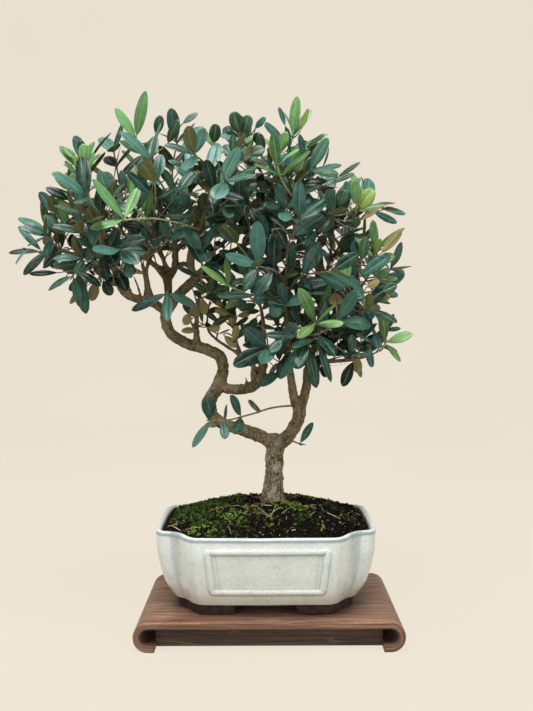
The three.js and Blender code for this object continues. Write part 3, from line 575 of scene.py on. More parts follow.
@dataclass(frozen=True)
class LeafFinish:
    """One face of an olive leaf: leathery and glossy above, dull and paler below."""

    name: str
    deep: Triple
    light: Triple
    rib: Triple
    roughness: float
    rib_width: float = 0.075
    warm: Triple = srgb(48, 70, 28)

    def material(self) -> Material:
        """Makes the material.

        Returns:
            The material, which reads each leaf's tone and hue, and the place across and along it.
        """
        n = Nodes(self.name)
        tone = n.sum("ADD", n.mark("tone"), n.spread(n.grain(160, 2), 0.3, 0.7, (-0.12, 0.12)))
        colour = n.blend(n.spread(tone, 0.0, 1.0), self.deep, self.light)
        colour = n.blend(n.times(n.mark("hue"), 0.9), colour, self.warm)
        across = n.sum("ABSOLUTE", n.mark("across"), 0.0)
        rib = n.spread(across, self.rib_width * 0.35, self.rib_width, (0.75, 0.0))
        slant = n.sum("SUBTRACT", n.times(n.mark("along"), 62.0), n.times(across, 7.0))
        vein = n.spread(n.sum("SINE", slant, 0.0), 0.72, 1.0, (0.0, 0.09))
        colour = n.blend(vein, colour, self.rib)
        colour = n.blend(rib, colour, self.rib)
        tip = n.spread(n.mark("along"), 0.955, 1.0, (0.0, 0.35))
        colour = n.blend(tip, colour, srgb(96, 78, 44))
        height = n.sum("SUBTRACT", n.grain(900, 2), n.times(n.sum("ADD", rib, vein), 0.6))
        n.relief(height, 0.00016, 0.55)
        rough = n.spread(n.grain(420, 2), 0.3, 0.7, (self.roughness - 0.05, self.roughness + 0.07))
        return n.finish(colour, rough, Specular_IOR_Level=0.26)


@dataclass(frozen=True)
class BarkFinish:
    """Olive bark: brown-grey, greener where it is smooth, with dark pits and a darker, reddish shade painted where it
    faces down.
    """

    name: str
    brown: Triple = srgb(111, 95, 63)
    grey: Triple = srgb(120, 115, 93)
    dark: Triple = srgb(38, 28, 20)
    red: Triple = srgb(92, 60, 40)
    pale: Triple = srgb(154, 150, 134)

    def material(self) -> Material:
        """Makes the material.

        Returns:
            The material.
        """
        n = Nodes(self.name)
        trunk = n.mark("trunk")
        patches = n.spread(n.grain(60, 5, 0.68), 0.36, 0.6)
        colour = n.blend(n.times(patches, n.spread(trunk, 0.0, 1.0, (0.35, 1.0))), self.brown, self.grey)
        blotch = n.times(n.spread(n.grain(105, 3, 0.6), 0.5, 0.62), n.spread(trunk, 0.0, 1.0, (0.25, 0.8)))
        colour = n.blend(blotch, colour, self.pale)
        # Painted shade: where the wood faces down it is painted a darker red-brown.
        below = n.spread(n.mark("under"), 0.1, 0.9, (0.0, 0.55))
        colour = n.blend(below, colour, self.red)
        streaks = n.grain(260, 4, 0.65, n.place((1, 1, 0.28)))
        marked = n.spread(trunk, 0.0, 1.0, (0.7, 1.0))
        colour = n.blend(n.times(n.spread(streaks, 0.48, 0.66, (0.0, 0.85)), marked), colour, self.dark)
        pits = n.cells(330, n.place((1, 1, 0.8)))
        pit = n.times(n.spread(pits, 0.14, 0.38, (1.0, 0.0)), n.spread(n.grain(120, 2), 0.42, 0.56))
        colour = n.blend(n.times(pit, n.times(marked, 0.85)), colour, self.dark)
        rust = n.spread(n.grain(56, 4, 0.6), 0.54, 0.68, (0.0, 0.5))
        colour = n.blend(rust, colour, self.red)
        sores = n.times(n.spread(n.grain(170, 2, 0.5), 0.6, 0.68), n.spread(trunk, 0.0, 1.0, (0.2, 0.85)))
        colour = n.blend(sores, colour, srgb(66, 36, 26))
        flecks = n.times(n.spread(n.grain(600, 2, 0.7), 0.54, 0.66), n.spread(trunk, 0.0, 1.0, (0.3, 0.8)))
        colour = n.blend(flecks, colour, srgb(186, 180, 160))
        hollow = n.spread(n.mark("hollow"), 0.0, 1.0, (0.0, 0.8))
        colour = n.blend(hollow, colour, self.dark)
        roots = n.times(n.mark("root"), n.spread(n.grain(300, 3), 0.3, 0.6, (0.4, 0.9)))
        colour = n.blend(roots, colour, srgb(60, 36, 26))
        height = n.sum("SUBTRACT", n.sum("ADD", n.times(streaks, -0.9), n.grain(900, 3, 0.6)), pit)
        n.relief(height, 0.0007, 0.8)
        return n.finish(colour, n.spread(streaks, 0.3, 0.7, (0.62, 0.9)), Specular_IOR_Level=0.15)


@dataclass(frozen=True)
class TwigFinish:
    """Thin green or khaki skin of a leafy twig."""

    name: str
    colour: Triple
    pale: Triple

    def material(self) -> Material:
        """Makes the material.

        Returns:
            The material.
        """
        n = Nodes(self.name)
        colour = n.blend(n.spread(n.grain(240, 3), 0.35, 0.65), self.colour, self.pale)
        flecks = n.spread(n.cells(900), 0.1, 0.25, (0.5, 0.0))
        colour = n.blend(flecks, colour, srgb(205, 200, 180))
        n.relief(n.grain(1600, 2), 0.0002, 0.6)
        return n.finish(colour, 0.62, Specular_IOR_Level=0.35)


@dataclass(frozen=True)
class GlazeFinish:
    """Milky celadon glaze, bluer where it gathers thick, with blue-grey shade painted in its creases, under its lip,
    along its beads and inside the pot, brown shade painted under its beads, iron specks and a warm cast low down.
    """

    name: str = "pot_celadon_glaze"
    body: Triple = srgb(212, 219, 215)
    blue: Triple = srgb(142, 160, 166)
    warm: Triple = srgb(216, 207, 189)
    iron: Triple = srgb(96, 78, 60)

    def material(self) -> Material:
        """Makes the material, which reads how deep the glaze gathers together with where blue-grey shade is painted,
        how high it lies and where brown shade is painted under the beads.

        Returns:
            The material.
        """
        n = Nodes(self.name)
        clouds = n.spread(n.grain(40, 4, 0.6), 0.35, 0.66)
        colour = n.blend(n.times(clouds, 0.5), self.body, srgb(230, 235, 231))
        low = n.times(n.spread(n.mark("height"), 0.0, 0.42, (1.0, 0.0)), n.spread(n.grain(60, 3), 0.25, 0.65))
        colour = n.blend(n.times(low, 0.85), colour, self.warm)
        # Partly glaze that gathers thick, in random patches and at the beads' feet, and partly painted blue-grey
        # shade in the creases, under the lip, along the uprights and inside the pot.
        pool = n.sum("ADD", n.mark("pool"), n.spread(n.grain(150, 3), 0.5, 0.75, (0.0, 0.16)))
        colour = n.blend(n.spread(pool, 0.0, 1.0, (0.0, 0.92)), colour, self.blue)
        specks = n.times(n.spread(n.cells(520), 0.06, 0.2, (1.0, 0.0)), n.spread(n.grain(190, 2), 0.42, 0.58))
        colour = n.blend(n.times(specks, 0.7), colour, self.iron)
        dust = n.spread(n.grain(800, 3, 0.75), 0.53, 0.68, (0.0, 0.62))
        colour = n.blend(dust, colour, srgb(136, 134, 122))
        # A brown shade painted along the lower edge of the panel's beads, where shadow falls under them.
        thin = n.spread(n.mark("thin"), 0.15, 0.9, (0.0, 0.85))
        colour = n.blend(thin, colour, srgb(134, 112, 86))
        # The glaze's own pinholes on the level beads, crowded along the uprights' outer edge into a dark line of
        # painted shade.
        holes = n.spread(n.cells(330), 0.16, 0.3, (1.0, 0.0))
        holes = n.times(holes, n.spread(n.mark("bead"), 0.2, 0.7, (0.0, 0.95)))
        colour = n.blend(holes, colour, srgb(66, 62, 54))
        mist = n.spread(n.grain(1100, 2, 0.6), 0.35, 0.7, (0.0, 0.24))
        colour = n.blend(mist, colour, srgb(170, 178, 178))
        n.relief(n.sum("SUBTRACT", n.grain(170, 3), n.times(n.sum("ADD", specks, holes), 0.5)), 0.0005, 0.4)
        rough = n.spread(n.grain(95, 3), 0.3, 0.7, (0.18, 0.34))
        return n.finish(colour, rough, Coat_Weight=0.3, Coat_Roughness=0.12)


@dataclass(frozen=True)
class ClayFinish:
    """Bare fired clay of the pot's feet, dark red-brown with sand in it."""

    name: str = "pot_bare_clay"

    def material(self) -> Material:
        """Makes the material.

        Returns:
            The material.
        """
        n = Nodes(self.name)
        colour = n.blend(n.spread(n.grain(140, 4), 0.35, 0.65), srgb(40, 28, 27), srgb(70, 51, 46))
        sand = n.spread(n.cells(900), 0.08, 0.22, (0.6, 0.0))
        colour = n.blend(sand, colour, srgb(130, 108, 92))
        n.relief(n.grain(700, 3, 0.6), 0.0005, 0.7)
        return n.finish(colour, 0.85)


@dataclass(frozen=True)
class WoodGrainFinish:
    """Stained board of the stand, with long fine grain along its length and darker rounded edges."""

    name: str = "stand_stained_wood"
    mid: Triple = srgb(150, 111, 84)
    dark: Triple = srgb(90, 58, 43)
    pale: Triple = srgb(182, 146, 116)

    def material(self) -> Material:
        """Makes the material, whose grain follows the board round its rolled ends.

        Returns:
            The material.
        """
        n = Nodes(self.name)
        lines = n.grain(1.0, 5, 0.62, n.board(10, 560, 1.6))
        broad = n.grain(1.0, 3, 0.5, n.board(5, 130, 0.7))
        colour = n.blend(n.spread(lines, 0.4, 0.6), self.dark, self.mid)
        colour = n.blend(n.spread(broad, 0.46, 0.7, (0.0, 0.3)), colour, self.dark)
        colour = n.blend(n.spread(broad, 0.25, 0.42, (0.4, 0.0)), colour, self.pale)
        bands = n.sum("ABSOLUTE", n.sum("SUBTRACT", n.grain(1.0, 1, 0.4, n.board(5, 230, 0.8)), 0.5), 0.0)
        grooves = n.spread(bands, 0.004, 0.03, (0.85, 0.0))
        colour = n.blend(grooves, colour, srgb(46, 30, 24))
        threads = n.sum("ABSOLUTE", n.sum("SUBTRACT", n.grain(1.0, 2, 0.5, n.board(7, 330, 0.9)), 0.47), 0.0)
        colour = n.blend(n.spread(threads, 0.004, 0.022, (0.5, 0.0)), colour, srgb(188, 160, 136))
        pores = n.spread(n.grain(1.0, 2, 0.7, n.board(60, 1700, 5)), 0.56, 0.68, (0.0, 0.75))
        colour = n.blend(pores, colour, srgb(44, 28, 22))
        plies = n.spread(n.sum("SINE", n.times(n.mark("ply"), 6.2832), 0.0), 0.2, 0.95, (0.0, 0.5))
        colour = n.blend(plies, colour, srgb(52, 35, 28))
        # The rounded edges, the front ones most, are painted a darker brown in patches.
        edge_darkening = n.times(n.mark("edge"), n.spread(n.grain(230, 3), 0.3, 0.56))
        colour = n.blend(n.times(edge_darkening, 0.3), colour, srgb(88, 62, 50))
        colour = n.blend(n.times(n.mark("shade"), 0.93), colour, srgb(42, 28, 23))
        n.relief(n.sum("SUBTRACT", n.sum("SUBTRACT", lines, grooves), n.times(pores, 0.8)), 0.0006, 0.6)
        return n.finish(colour, n.spread(lines, 0.3, 0.7, (0.42, 0.6)), Specular_IOR_Level=0.4)


@dataclass(frozen=True)
class EarthFinish:
    """Crumbly dark soil, its bark chips and grit."""

    name: str
    dark: Triple
    brown: Triple
    grit: float = 0.2

    def material(self) -> Material:
        """Makes the material, which reads where moss has spread over the soil.

        Returns:
            The material.
        """
        n = Nodes(self.name)
        colour = n.blend(n.spread(n.grain(420, 4, 0.6), 0.36, 0.68), self.dark, self.brown)
        flecks = n.times(n.spread(n.cells(760), 0.08, 0.2, (1.0, 0.0)), self.grit)
        colour = n.blend(flecks, colour, srgb(196, 186, 160))
        green = n.times(n.mark("moss"), n.spread(n.grain(300, 4), 0.35, 0.6, (0.0, 0.7)))
        colour = n.blend(green, colour, srgb(20, 30, 12))
        n.relief(n.grain(800, 4, 0.65), 0.0012, 0.9)
        return n.finish(colour, 0.95, Specular_IOR_Level=0.05)


@dataclass(frozen=True)
class MossFinish:
    """Moss, from dark green at its foot to a bright yellow-green where it grows."""

    name: str
    foot: Triple
    tip: Triple

    def material(self) -> Material:
        """Makes the material, which reads each sprig's tone and how far up it lies.

        Returns:
            The material.
        """
        n = Nodes(self.name)
        share = n.sum("ADD", n.times(n.mark("along"), 0.42), n.times(n.mark("tone"), 0.72))
        colour = n.blend(n.spread(share, 0.16, 1.06), self.foot, self.tip)
        colour = n.blend(n.spread(n.grain(240, 3), 0.5, 0.72, (0.0, 0.45)), colour, srgb(92, 88, 34))
        n.relief(n.grain(2600, 2), 0.0003, 0.5)
        return n.finish(colour, 0.8, Specular_IOR_Level=0.08)


@dataclass(frozen=True)
class PlasticFinish:
    """Black plastic mesh over the drain holes."""

    name: str = "drain_screen_plastic"

    def material(self) -> Material:
        """Makes the material.

        Returns:
            The material.
        """
        n = Nodes(self.name)
        colour = n.blend(n.spread(n.grain(300, 3), 0.4, 0.7), srgb(26, 28, 30), srgb(52, 50, 44))
        n.relief(n.grain(1500, 2), 0.0001, 0.4)
        return n.finish(colour, n.spread(n.grain(500, 2), 0.3, 0.7, (0.45, 0.65)))


@dataclass(frozen=True)
class PaperFinish:
    """Seamless backdrop paper."""

    name: str = "backdrop_paper"
    colour: Triple = srgb(235, 226, 210)

    def material(self) -> Material:
        """Makes the material, lit from behind as well, which keeps the sheet even.

        Returns:
            The material.
        """
        n = Nodes(self.name)
        colour = n.blend(n.spread(n.grain(3, 2), 0.3, 0.7), self.colour, tuple(v * 0.985 for v in self.colour))
        n.link(colour, n.surface.inputs["Emission Color"])
        n.surface.inputs["Emission Strength"].default_value = 0.955
        return n.finish(n.blend(0.94, colour, (0.0, 0.0, 0.0)), 0.95, Specular_IOR_Level=0.0)


class Finishes:
    """Every material of the part, made once."""

    def __init__(self) -> None:
        """Makes them."""
        self.leaf_top = LeafFinish(
            "leaf_upper_dark", srgb(4, 21, 17), srgb(64, 108, 96), srgb(100, 132, 110), 0.3).material()
        self.leaf_under = LeafFinish(
            "leaf_under_khaki", srgb(60, 76, 44), srgb(116, 126, 82), srgb(140, 142, 104), 0.6, 0.11,
            srgb(138, 122, 80)).material()
        self.young_top = LeafFinish(
            "young_leaf_upper", srgb(16, 66, 40), srgb(98, 146, 92), srgb(140, 170, 116), 0.34,
            warm=srgb(112, 130, 56)).material()
        self.young_under = LeafFinish(
            "young_leaf_under", srgb(74, 116, 64), srgb(132, 158, 98), srgb(156, 174, 120), 0.6, 0.11,
            srgb(132, 140, 72)).material()
        self.twig = TwigFinish("twig_khaki", srgb(98, 88, 62), srgb(132, 124, 96)).material()
        self.young_twig = TwigFinish("twig_green", srgb(122, 132, 84), srgb(164, 172, 126)).material()
        self.bark = BarkFinish("olive_bark").material()
        self.glaze = GlazeFinish().material()
        self.clay = ClayFinish().material()
        self.stand = WoodGrainFinish().material()
        self.earth = EarthFinish("soil_dark", srgb(7, 6, 5), srgb(28, 22, 17)).material()
        self.chip = EarthFinish("soil_chips", srgb(26, 18, 14), srgb(110, 88, 68), 0.5).material()
        self.moss = MossFinish("moss_dark_green", srgb(3, 7, 2), srgb(70, 98, 42)).material()
        self.bright_moss = MossFinish("moss_yellow_green", srgb(9, 16, 4), srgb(122, 150, 62)).material()
        self.rootlet = TwigFinish("rootlet_pale", srgb(150, 130, 100), srgb(205, 192, 160)).material()
        self.grass = TwigFinish("grass_blade", srgb(120, 140, 84), srgb(186, 196, 150)).material()
        self.plastic = PlasticFinish().material()
        self.paper = PaperFinish().material()


# ---------------------------------------------------------------- how the tree is grown
# Limbs, each a line of x, y, z and radius in millimetres about the stand's middle.
LIMBS = {name: np.array(line, float) for name, line in {
    "trunk": ((4, 0, 84, 7.5), (4, 0, 100, 11.5), (4, 0, 116, 13.2), (4.2, 0, 125, 12.2), (4.6, 0, 134, 10.2),
        (5.4, 0, 150, 8.9), (6.4, 0, 166, 9.2), (7.8, 0, 180, 9.6), (8.8, 0, 188, 7)),
    "left_limb": ((8, 0, 175.5, 7.4), (-6, 0, 185, 6.7), (-27, -2, 193, 6.2), (-46, -4, 199.5, 6),
        (-57, -3, 210, 6.3), (-57.5, 0, 223, 6.3), (-50, 2, 236, 7), (-45, 4, 251, 5.7), (-48, 6, 264.5, 5.8),
        (-61.5, 8, 272, 5.8), (-80, 8, 277.5, 5.6), (-96, 6, 287.5, 5.5), (-102, 3, 302, 5.4), (-101, 3, 313, 5.2)),
    "far_left": ((-101, 3, 309, 4.6), (-113, 0, 318, 4.5), (-133, -6, 324, 4.1), (-142.5, -9, 331, 4),
        (-148, -12, 347, 3.5), (-157, -14, 363, 3), (-163, -14, 380, 2.5), (-170, -12, 398, 1.9),
        (-174, -10, 416, 1.3)),
    "crown_right": ((-101, 3, 309, 5), (-89, 2, 327, 4.9), (-73, 0, 341.5, 4.8), (-61, -2, 354, 3.9),
        (-45, -5, 364.5, 2.8), (-27, -8, 373, 2.2), (-11, -10, 381, 1.8), (4, -10, 395, 1.4), (12, -8, 413, 1.1)),
    "crown_mid": ((-100, 4, 316, 4.4), (-100, 8, 333, 4.2), (-102, 12, 345, 4.6), (-109, 14, 354, 2.8),
        (-123, 16, 364, 2.2), (-134, 18, 375, 1.9), (-142, 20, 395, 1.5), (-146, 20, 415, 1.1)),
    "crown_centre": ((-101, 12, 343, 4), (-94, 14, 356, 3.5), (-94, 16, 378, 3), (-96, 18, 402, 2.2),
        (-98, 18, 425, 1.5), (-97, 16, 445, 1.1)),
    "crown_bridge": ((-96, 13, 353, 2.8), (-84, 10, 358, 2.9), (-75, 4, 351, 3), (-70, 0, 344, 2.8)),
    "crown_front": ((-74, 0, 342, 3), (-74, -8, 364, 2.6), (-69, -20, 381, 2.3), (-62, -34, 396, 2),
        (-56, -44, 412, 1.6), (-53, -48, 430, 1.2)),
    "crown_back_left": ((-102, 12, 347, 2.6), (-108, 24, 368, 2), (-118, 40, 388, 1.7), (-128, 55, 408, 1.4),
        (-134, 66, 426, 1)),
    "crown_back": ((-94, 15, 370, 2.8), (-80, 34, 388, 2.2), (-62, 52, 402, 1.8), (-45, 66, 418, 1.3),
        (-34, 76, 432, 1)),
    "left_back": ((-148, -12, 346, 2.2), (-160, 10, 366, 1.9), (-172, 30, 380, 1.5), (-184, 45, 396, 1.1)),
    "left_front": ((-144, -9, 335, 2.1), (-150, -30, 354, 1.8), (-152, -50, 370, 1.5), (-150, -68, 386, 1.1)),
    "left_tip": ((-156, -14, 361, 2), (-176, -12, 366, 1.7), (-196, -10, 368, 1.4), (-212, -8, 371, 1.1)),
    "upright_back": ((-122, -2, 320, 2.2), (-121, 4, 340, 1.8), (-121, 12, 356, 1.5), (-114, 28, 378, 1.2),
        (-106, 38, 398, 1)),
    "upright_front": ((-112, 0, 317, 2.1), (-117, -12, 338, 1.8), (-116, -24, 358, 1.5), (-110, -40, 380, 1.3),
        (-104, -58, 400, 1)),
    "low_branch": ((-50, 2, 237, 6), (-38, 0, 233, 5.3), (-22, -3, 233.5, 5.2), (-11, -6, 240, 5.5),
        (-6, -8, 252, 4.8), (-5, -9, 264, 3.7), (-6, -10, 275, 3.4), (-4, -12, 290, 2.5), (-6, -16, 308, 1.9),
        (-10, -22, 326, 1.4), (-12, -30, 342, 1.1)),
    "low_fork": ((-7, -8, 249, 2.7), (-17, -4, 257.6, 2.3), (-32, 4, 269, 2), (-51, 14, 281, 1.7),
        (-61, 22, 291, 1.5), (-62, 26, 305, 1.3), (-60, 32, 322, 1)),
    "low_riser": ((-25, 1, 263, 2), (-32, 6, 280, 2), (-33, 12, 297, 1.8), (-34, 18, 316, 1.5), (-37, 24, 334, 1.1)),
    "stump": ((-71, 8, 274, 4), (-71.5, 6, 285, 3.7), (-71.5, 3, 296, 2.7), (-69, -4, 312, 1.7),
        (-66, -12, 332, 1.2)),
    "snag": ((-8, -7, 243, 2.2), (-2, -10, 247, 1.4), (5, -12, 250, 1)),
    "right_limb": ((8, 0, 177, 7.6), (18, 0, 184.5, 7), (25, -1, 194, 6.6), (29.5, -2, 204, 6.4), (31, -3, 213, 6.6),
        (32, -4, 219, 5.4)),
    "right_front": ((29, -3, 211, 5), (24.5, -6, 228, 4.6), (22, -10, 247, 4), (19, -15, 268, 3.4),
        (20, -22, 292, 2.7), (18, -30, 314, 2.2), (17, -38, 334, 1.8), (17, -44, 354, 1.3)),
    "right_upper": ((32, -4, 214, 5), (38, -2, 236, 4.7), (39, 0, 251, 4.2), (45, 4, 270, 3.4), (49, 8, 290, 2.7),
        (53, 12, 313, 2.3), (57, 16, 336, 2), (62, 18, 360, 1.8), (66, 18, 384, 1.5), (66, 14, 406, 1.1)),
    "right_low": ((41, 1, 257, 3), (52, -6, 260, 2.6), (66, -14, 261, 2.2), (82, -20, 263, 1.9), (97, -24, 267, 1.5),
        (106, -26, 271, 1.1)),
    "right_out": ((49, 8, 287, 2.5), (62, 2, 302, 2.1), (76, -4, 316, 1.8), (90, -8, 331, 1.5), (98, -10, 344, 1.2)),
    "right_back": ((44, 4, 266, 2.6), (54, 22, 284, 2.1), (64, 40, 300, 1.8), (76, 54, 318, 1.4), (86, 62, 334, 1)),
    "centre_up": ((20, -21, 288, 2.3), (14, -8, 316, 2), (6, 0, 344, 1.8), (0, 4, 372, 1.7), (-2, 4, 400, 1.5),
        (2, 2, 426, 1.2), (8, 0, 446, 1)),
    "centre_back": ((4, 2, 352, 1.7), (10, 22, 378, 1.5), (18, 42, 398, 1.3), (24, 60, 414, 1)),
    "centre_front": ((-1, 4, 376, 1.6), (8, -16, 394, 1.4), (18, -36, 410, 1.2), (24, -52, 422, 1)),
    "right_crown": ((61, 18, 356, 1.8), (74, 10, 378, 1.5), (88, 2, 396, 1.2), (100, -4, 410, 1)),
    "right_crown_back": ((64, 18, 378, 1.5), (60, 36, 398, 1.3), (54, 56, 412, 1)),
}.items()}


@dataclass(frozen=True)
class ShootPlan:
    """Where a shoot that has a solid grows.

    Attributes:
        limb: the limb that bears it.
        share: where along that limb it starts.
        to: the points that lead its twig.
        leaves: the leaves that matter, each with its share of the twig, its tip, its width and a 1 where it is
            turned over. Where there are none, they follow the rule for pairs.
        age: whether it is of this year.
    """

    limb: str
    share: float
    to: tuple[Triple, ...]
    leaves: tuple[tuple, ...] = ()
    age: LeafAge = LeafAge.MATURE


# This year's bright shoots.
YOUNG_SHOOTS = (
    ("crown_front", 0.5, ((-80, -52, 391), (-103, -66, 394), (-129, -72, 392)),
     ((1, (-167, -76, 381), 12), (1, (-155, -80, 427), 12), (1, (-134, -96, 408), 8), (1, (-124, -62, 431), 11),
      (0.75, (-119, -94, 401), 9), (0.75, (-102, -82, 416), 12))),
    ("crown_centre", 0.78, ((-106, -10, 438), (-118, -28, 458), (-124, -38, 473)),
     ((1, (-142, -44, 500), 10), (1, (-118, -40, 503), 11), (0.7, (-140, -34, 472), 9), (0.7, (-102, -48, 470), 10))),
    ("far_left", 0.9, ((-174, -20, 418), (-178, -24, 434), (-181, -26, 447)),
     ((1, (-198, -30, 468), 9), (1, (-178, -22, 476), 9), (0.72, (-164, -36, 460), 13), (0.72, (-190, -44, 450), 11),
      (0.45, (-200, -22, 436), 11), (0.45, (-172, -50, 436), 10))),
    ("centre_up", 1, ((18, -5, 462), (25, -10, 480)),
     ((1, (29, -13, 519), 12), (1, (10, -18, 508), 9), (1, (43, -2, 509), 9), (0.55, (58, -14, 482), 8),
      (0.55, (-8, -12, 480), 9))),
    ("centre_front", 0.86, ((13, -56, 430), (9, -64, 442)),
     ((1, (5, -70, 470), 9), (1, (22, -78, 468), 12), (0.62, (38, -76, 452), 14), (0.62, (-12, -78, 440), 9))),
    ("right_crown", 0.62, ((86, -8, 404), (89, -14, 418)),
     ((1, (82, -16, 444), 9), (1, (106, -22, 438), 15), (0.6, (114, -20, 412), 10), (0.6, (66, -22, 420), 9))),
    ("right_out", 1, ((102, -16, 356), (104, -22, 368)),
     ((1, (101, -24, 397), 8), (1, (128, -30, 388), 8), (0.7, (86, -34, 384), 10), (0.5, (122, -26, 362), 13),
      (0.16, (124, -24, 340), 10), (0.16, (86, -34, 350), 9))),
    ("right_front", 0.62, ((30, -50, 294), (42, -76, 298)),
     ((1, (27, -92, 329), 13), (1, (58, -92, 330), 13), (1, (66, -86, 298), 9), (1, (26, -98, 286), 9))),
    ("right_low", 1, ((112, -28, 279),),
     ((1, (108, -33, 308), 12), (1, (137, -32, 288), 11), (1, (124, -40, 262), 8))),
    ("low_branch", 0.84, ((-20, -44, 325), (-36, -60, 333)),
     ((1, (-60, -70, 350), 8), (1, (-40, -72, 360), 8), (0.6, (-40, -48, 312), 8), (0.6, (-14, -66, 344), 9))),
)

# The shoots that bear mature leaves.
MATURE_SHOOTS = (
    # the long low twig that crosses in front of the tree
    ("right_front", 0.06, ((5, -14, 216), (-17, -18, 210), (-39, -22, 205), (-55, -26, 205.5)),
     ((1, (-72, -34, 181), 8), (1, (-59, -36, 230), 13), (1, (-54, -50, 202), 10, 1), (0.8, (-41, -36, 189), 9),
      (0.8, (-39, -38, 221), 8), (0.6, (-36, -34, 230), 11), (0.6, (-31, -40, 194), 11),
      (0.42, (-15, -44, 226), 13, 1))),
    ("right_limb", 0.2, ((22, -14, 184), (30, -20, 181.5)), ((1, (43, -26, 202.4), 10.5),)),
    # three leaves that hang before the fork of the long limb
    ("far_left", 0.06, ((-100, -14, 324), (-96, -28, 328)),
     ((1, (-128.5, -36, 311), 11), (1, (-103, -46, 299.6), 10), (1, (-75.6, -36, 309), 10))),
    ("left_tip", 1, ((-221, -10, 369),),
     ((1, (-253, -12, 368), 8), (1, (-244, -10, 392), 8), (0.3, (-236, -20, 346), 9), (0.3, (-224, 12, 356), 9))),
    # the dark leaves that hang before the right limb's fork
    ("right_low", 0.6, ((68, -34, 274), (48, -46, 284), (35, -50, 281)),
     ((1, (11, -50, 247), 12), (1, (27, -68, 259), 12), (1, (39, -56, 243), 13), (0.74, (22, -66, 276), 10),
      (0.74, (53, -52, 249), 9), (0.5, (52, -60, 270), 11))),
    # the crown's mature shoots, from the left
    ("left_tip", 0.4, ((-180, -28, 354), (-184, -38, 344)),
     ((1, (-206, -42, 330), 9), (1, (-189, -46, 318), 10), (0.72, (-174, -42, 322), 12), (0.72, (-158, -38, 334), 10),
      (0.4, (-200, -44, 352), 10))),
    ("left_tip", 0.62, ((-224, 18, 392),)),
    ("far_left", 0.72, ((-202, -22, 404),)),
    ("far_left", 1, ((-180, 6, 456),)),
    ("left_back", 1, ((-204, 62, 412),)),
    ("left_front", 1, ((-158, -90, 410),)),
    ("right_front", 0.4, ((0, -50, 276),)),
    ("left_front", 0.5, ((-132, -78, 364),)),
    ("crown_mid", 1, ((-154, 8, 470),)),
    ("crown_mid", 0.75, ((-162, 44, 444),)),
    ("upright_front", 1, ((-104, -80, 444),)),
    ("right_front", 0.55, ((46, -46, 286), (64, -56, 300))),
    ("upright_back", 1, ((-82, 54, 436),)),
    ("crown_back_left", 1, ((-140, 76, 466),)),
    ("right_back", 0.3, ((88, 44, 272),)),
    ("crown_centre", 1, ((-90, 2, 478),)),
    ("crown_front", 1, ((-66, -64, 452),)),
    ("crown_front", 0.7, ((-38, -84, 424),)),
    ("crown_back", 1, ((-22, 90, 466),)),
    ("crown_back", 0.6, ((-76, 90, 432),)),
    ("crown_right", 1, ((-20, -16, 472),)),
    ("crown_right", 0.62, ((-26, -44, 408),)),
    ("centre_up", 0.8, ((-30, 10, 474),)),
    ("centre_back", 1, ((12, 72, 466),)),
    ("centre_front", 1, ((38, -70, 436),)),
    ("right_upper", 1, ((44, -4, 438),)),
    ("right_upper", 0.42, ((70, -22, 288), (92, -36, 312))),
    ("right_crown_back", 1, ((58, 80, 428),)),
    ("right_crown", 0.9, ((100, 22, 420),)),
    ("right_back", 1, ((88, 84, 388),)),
    ("right_back", 0.55, ((112, 56, 330),)),
    ("right_out", 0.55, ((106, 6, 330),)),
    ("right_front", 1, ((28, -66, 392),)),
    ("right_front", 0.84, ((-8, -70, 350),)),
    ("right_upper", 0.8, ((62, -36, 400),)),
    ("right_front", 0.78, ((58, -66, 346),)),
    ("low_branch", 1, ((-28, -46, 372),)),
    ("low_fork", 1, ((-62, 46, 360),)),
    ("stump", 1, ((-62, -40, 366),)),
)
SHOOTS = [ShootPlan(*row, age=LeafAge.YOUNG) for row in YOUNG_SHOOTS] + [ShootPlan(*row) for row in MATURE_SHOOTS]


@dataclass(frozen=True)
class TwigRule:
    """How twigs and their leaves are sized and spaced, in millimetres."""

    gap: float = 0.3
    base: float = 1.25
    tip: float = 0.85
    room: float = 2.6
    bare: float = 0.34
    internode: float = 9.4
    leaf_room: float = 3.0
    fold: float = 0.18
    sag: float = 0.1


RULE = TwigRule()
CROWN_MIDDLE = np.array([-15.0, 0.0, 370.0])  # leaves look out of the crown, upward and to the front


class Blade:
    """One leaf's middle surface: folded along its rib, bent back towards its tip, rooted in its twig."""

    def __init__(self, root: Array, tip: Array, facing: Array, width: float) -> None:
        """Lays out the leaf.

        Args:
            root: where it leaves its twig.
            tip: where it ends.
            facing: the way its upper side looks, which is made square to it here.
            width: its greatest width.
        """
        chord = tip - root
        up = unit(facing - chord * (np.dot(facing, chord) / np.dot(chord, chord)))
        aim = tip + up * (RULE.sag * np.linalg.norm(chord))
        self.root = root
        self.length = float(np.linalg.norm(aim - root))
        self.forward = unit(aim - root)
        self.side = unit(np.cross(self.forward, up))
        self.up = np.cross(self.side, self.forward)
        self.half_width = width / 2

    def points(self, share: Array, across: Array) -> Array:
        """Gives points of the middle surface.

        Args:
            share: shares of the length.
            across: places from one margin (-1) to the other (1), as many as there are shares.

        Returns:
            One row for each point.
        """
        profile = np.sin(math.pi * np.minimum(share, 1.0) ** 1.25).clip(0) ** 0.7
        out = across * self.half_width * profile
        lift = RULE.fold * np.abs(out) - RULE.sag * self.length * share**2
        return (self.root + np.outer(self.length * share, self.forward) + np.outer(lift, self.up)
                + np.outer(out, self.side))

    def cloud(self) -> Array:
        """Gives the points that stand for the leaf when room is looked for."""
        share = np.repeat(0.2 + 0.1 * np.arange(9), 5)
        return self.points(share, np.tile([-0.9, -0.45, 0.0, 0.45, 0.9], 9))


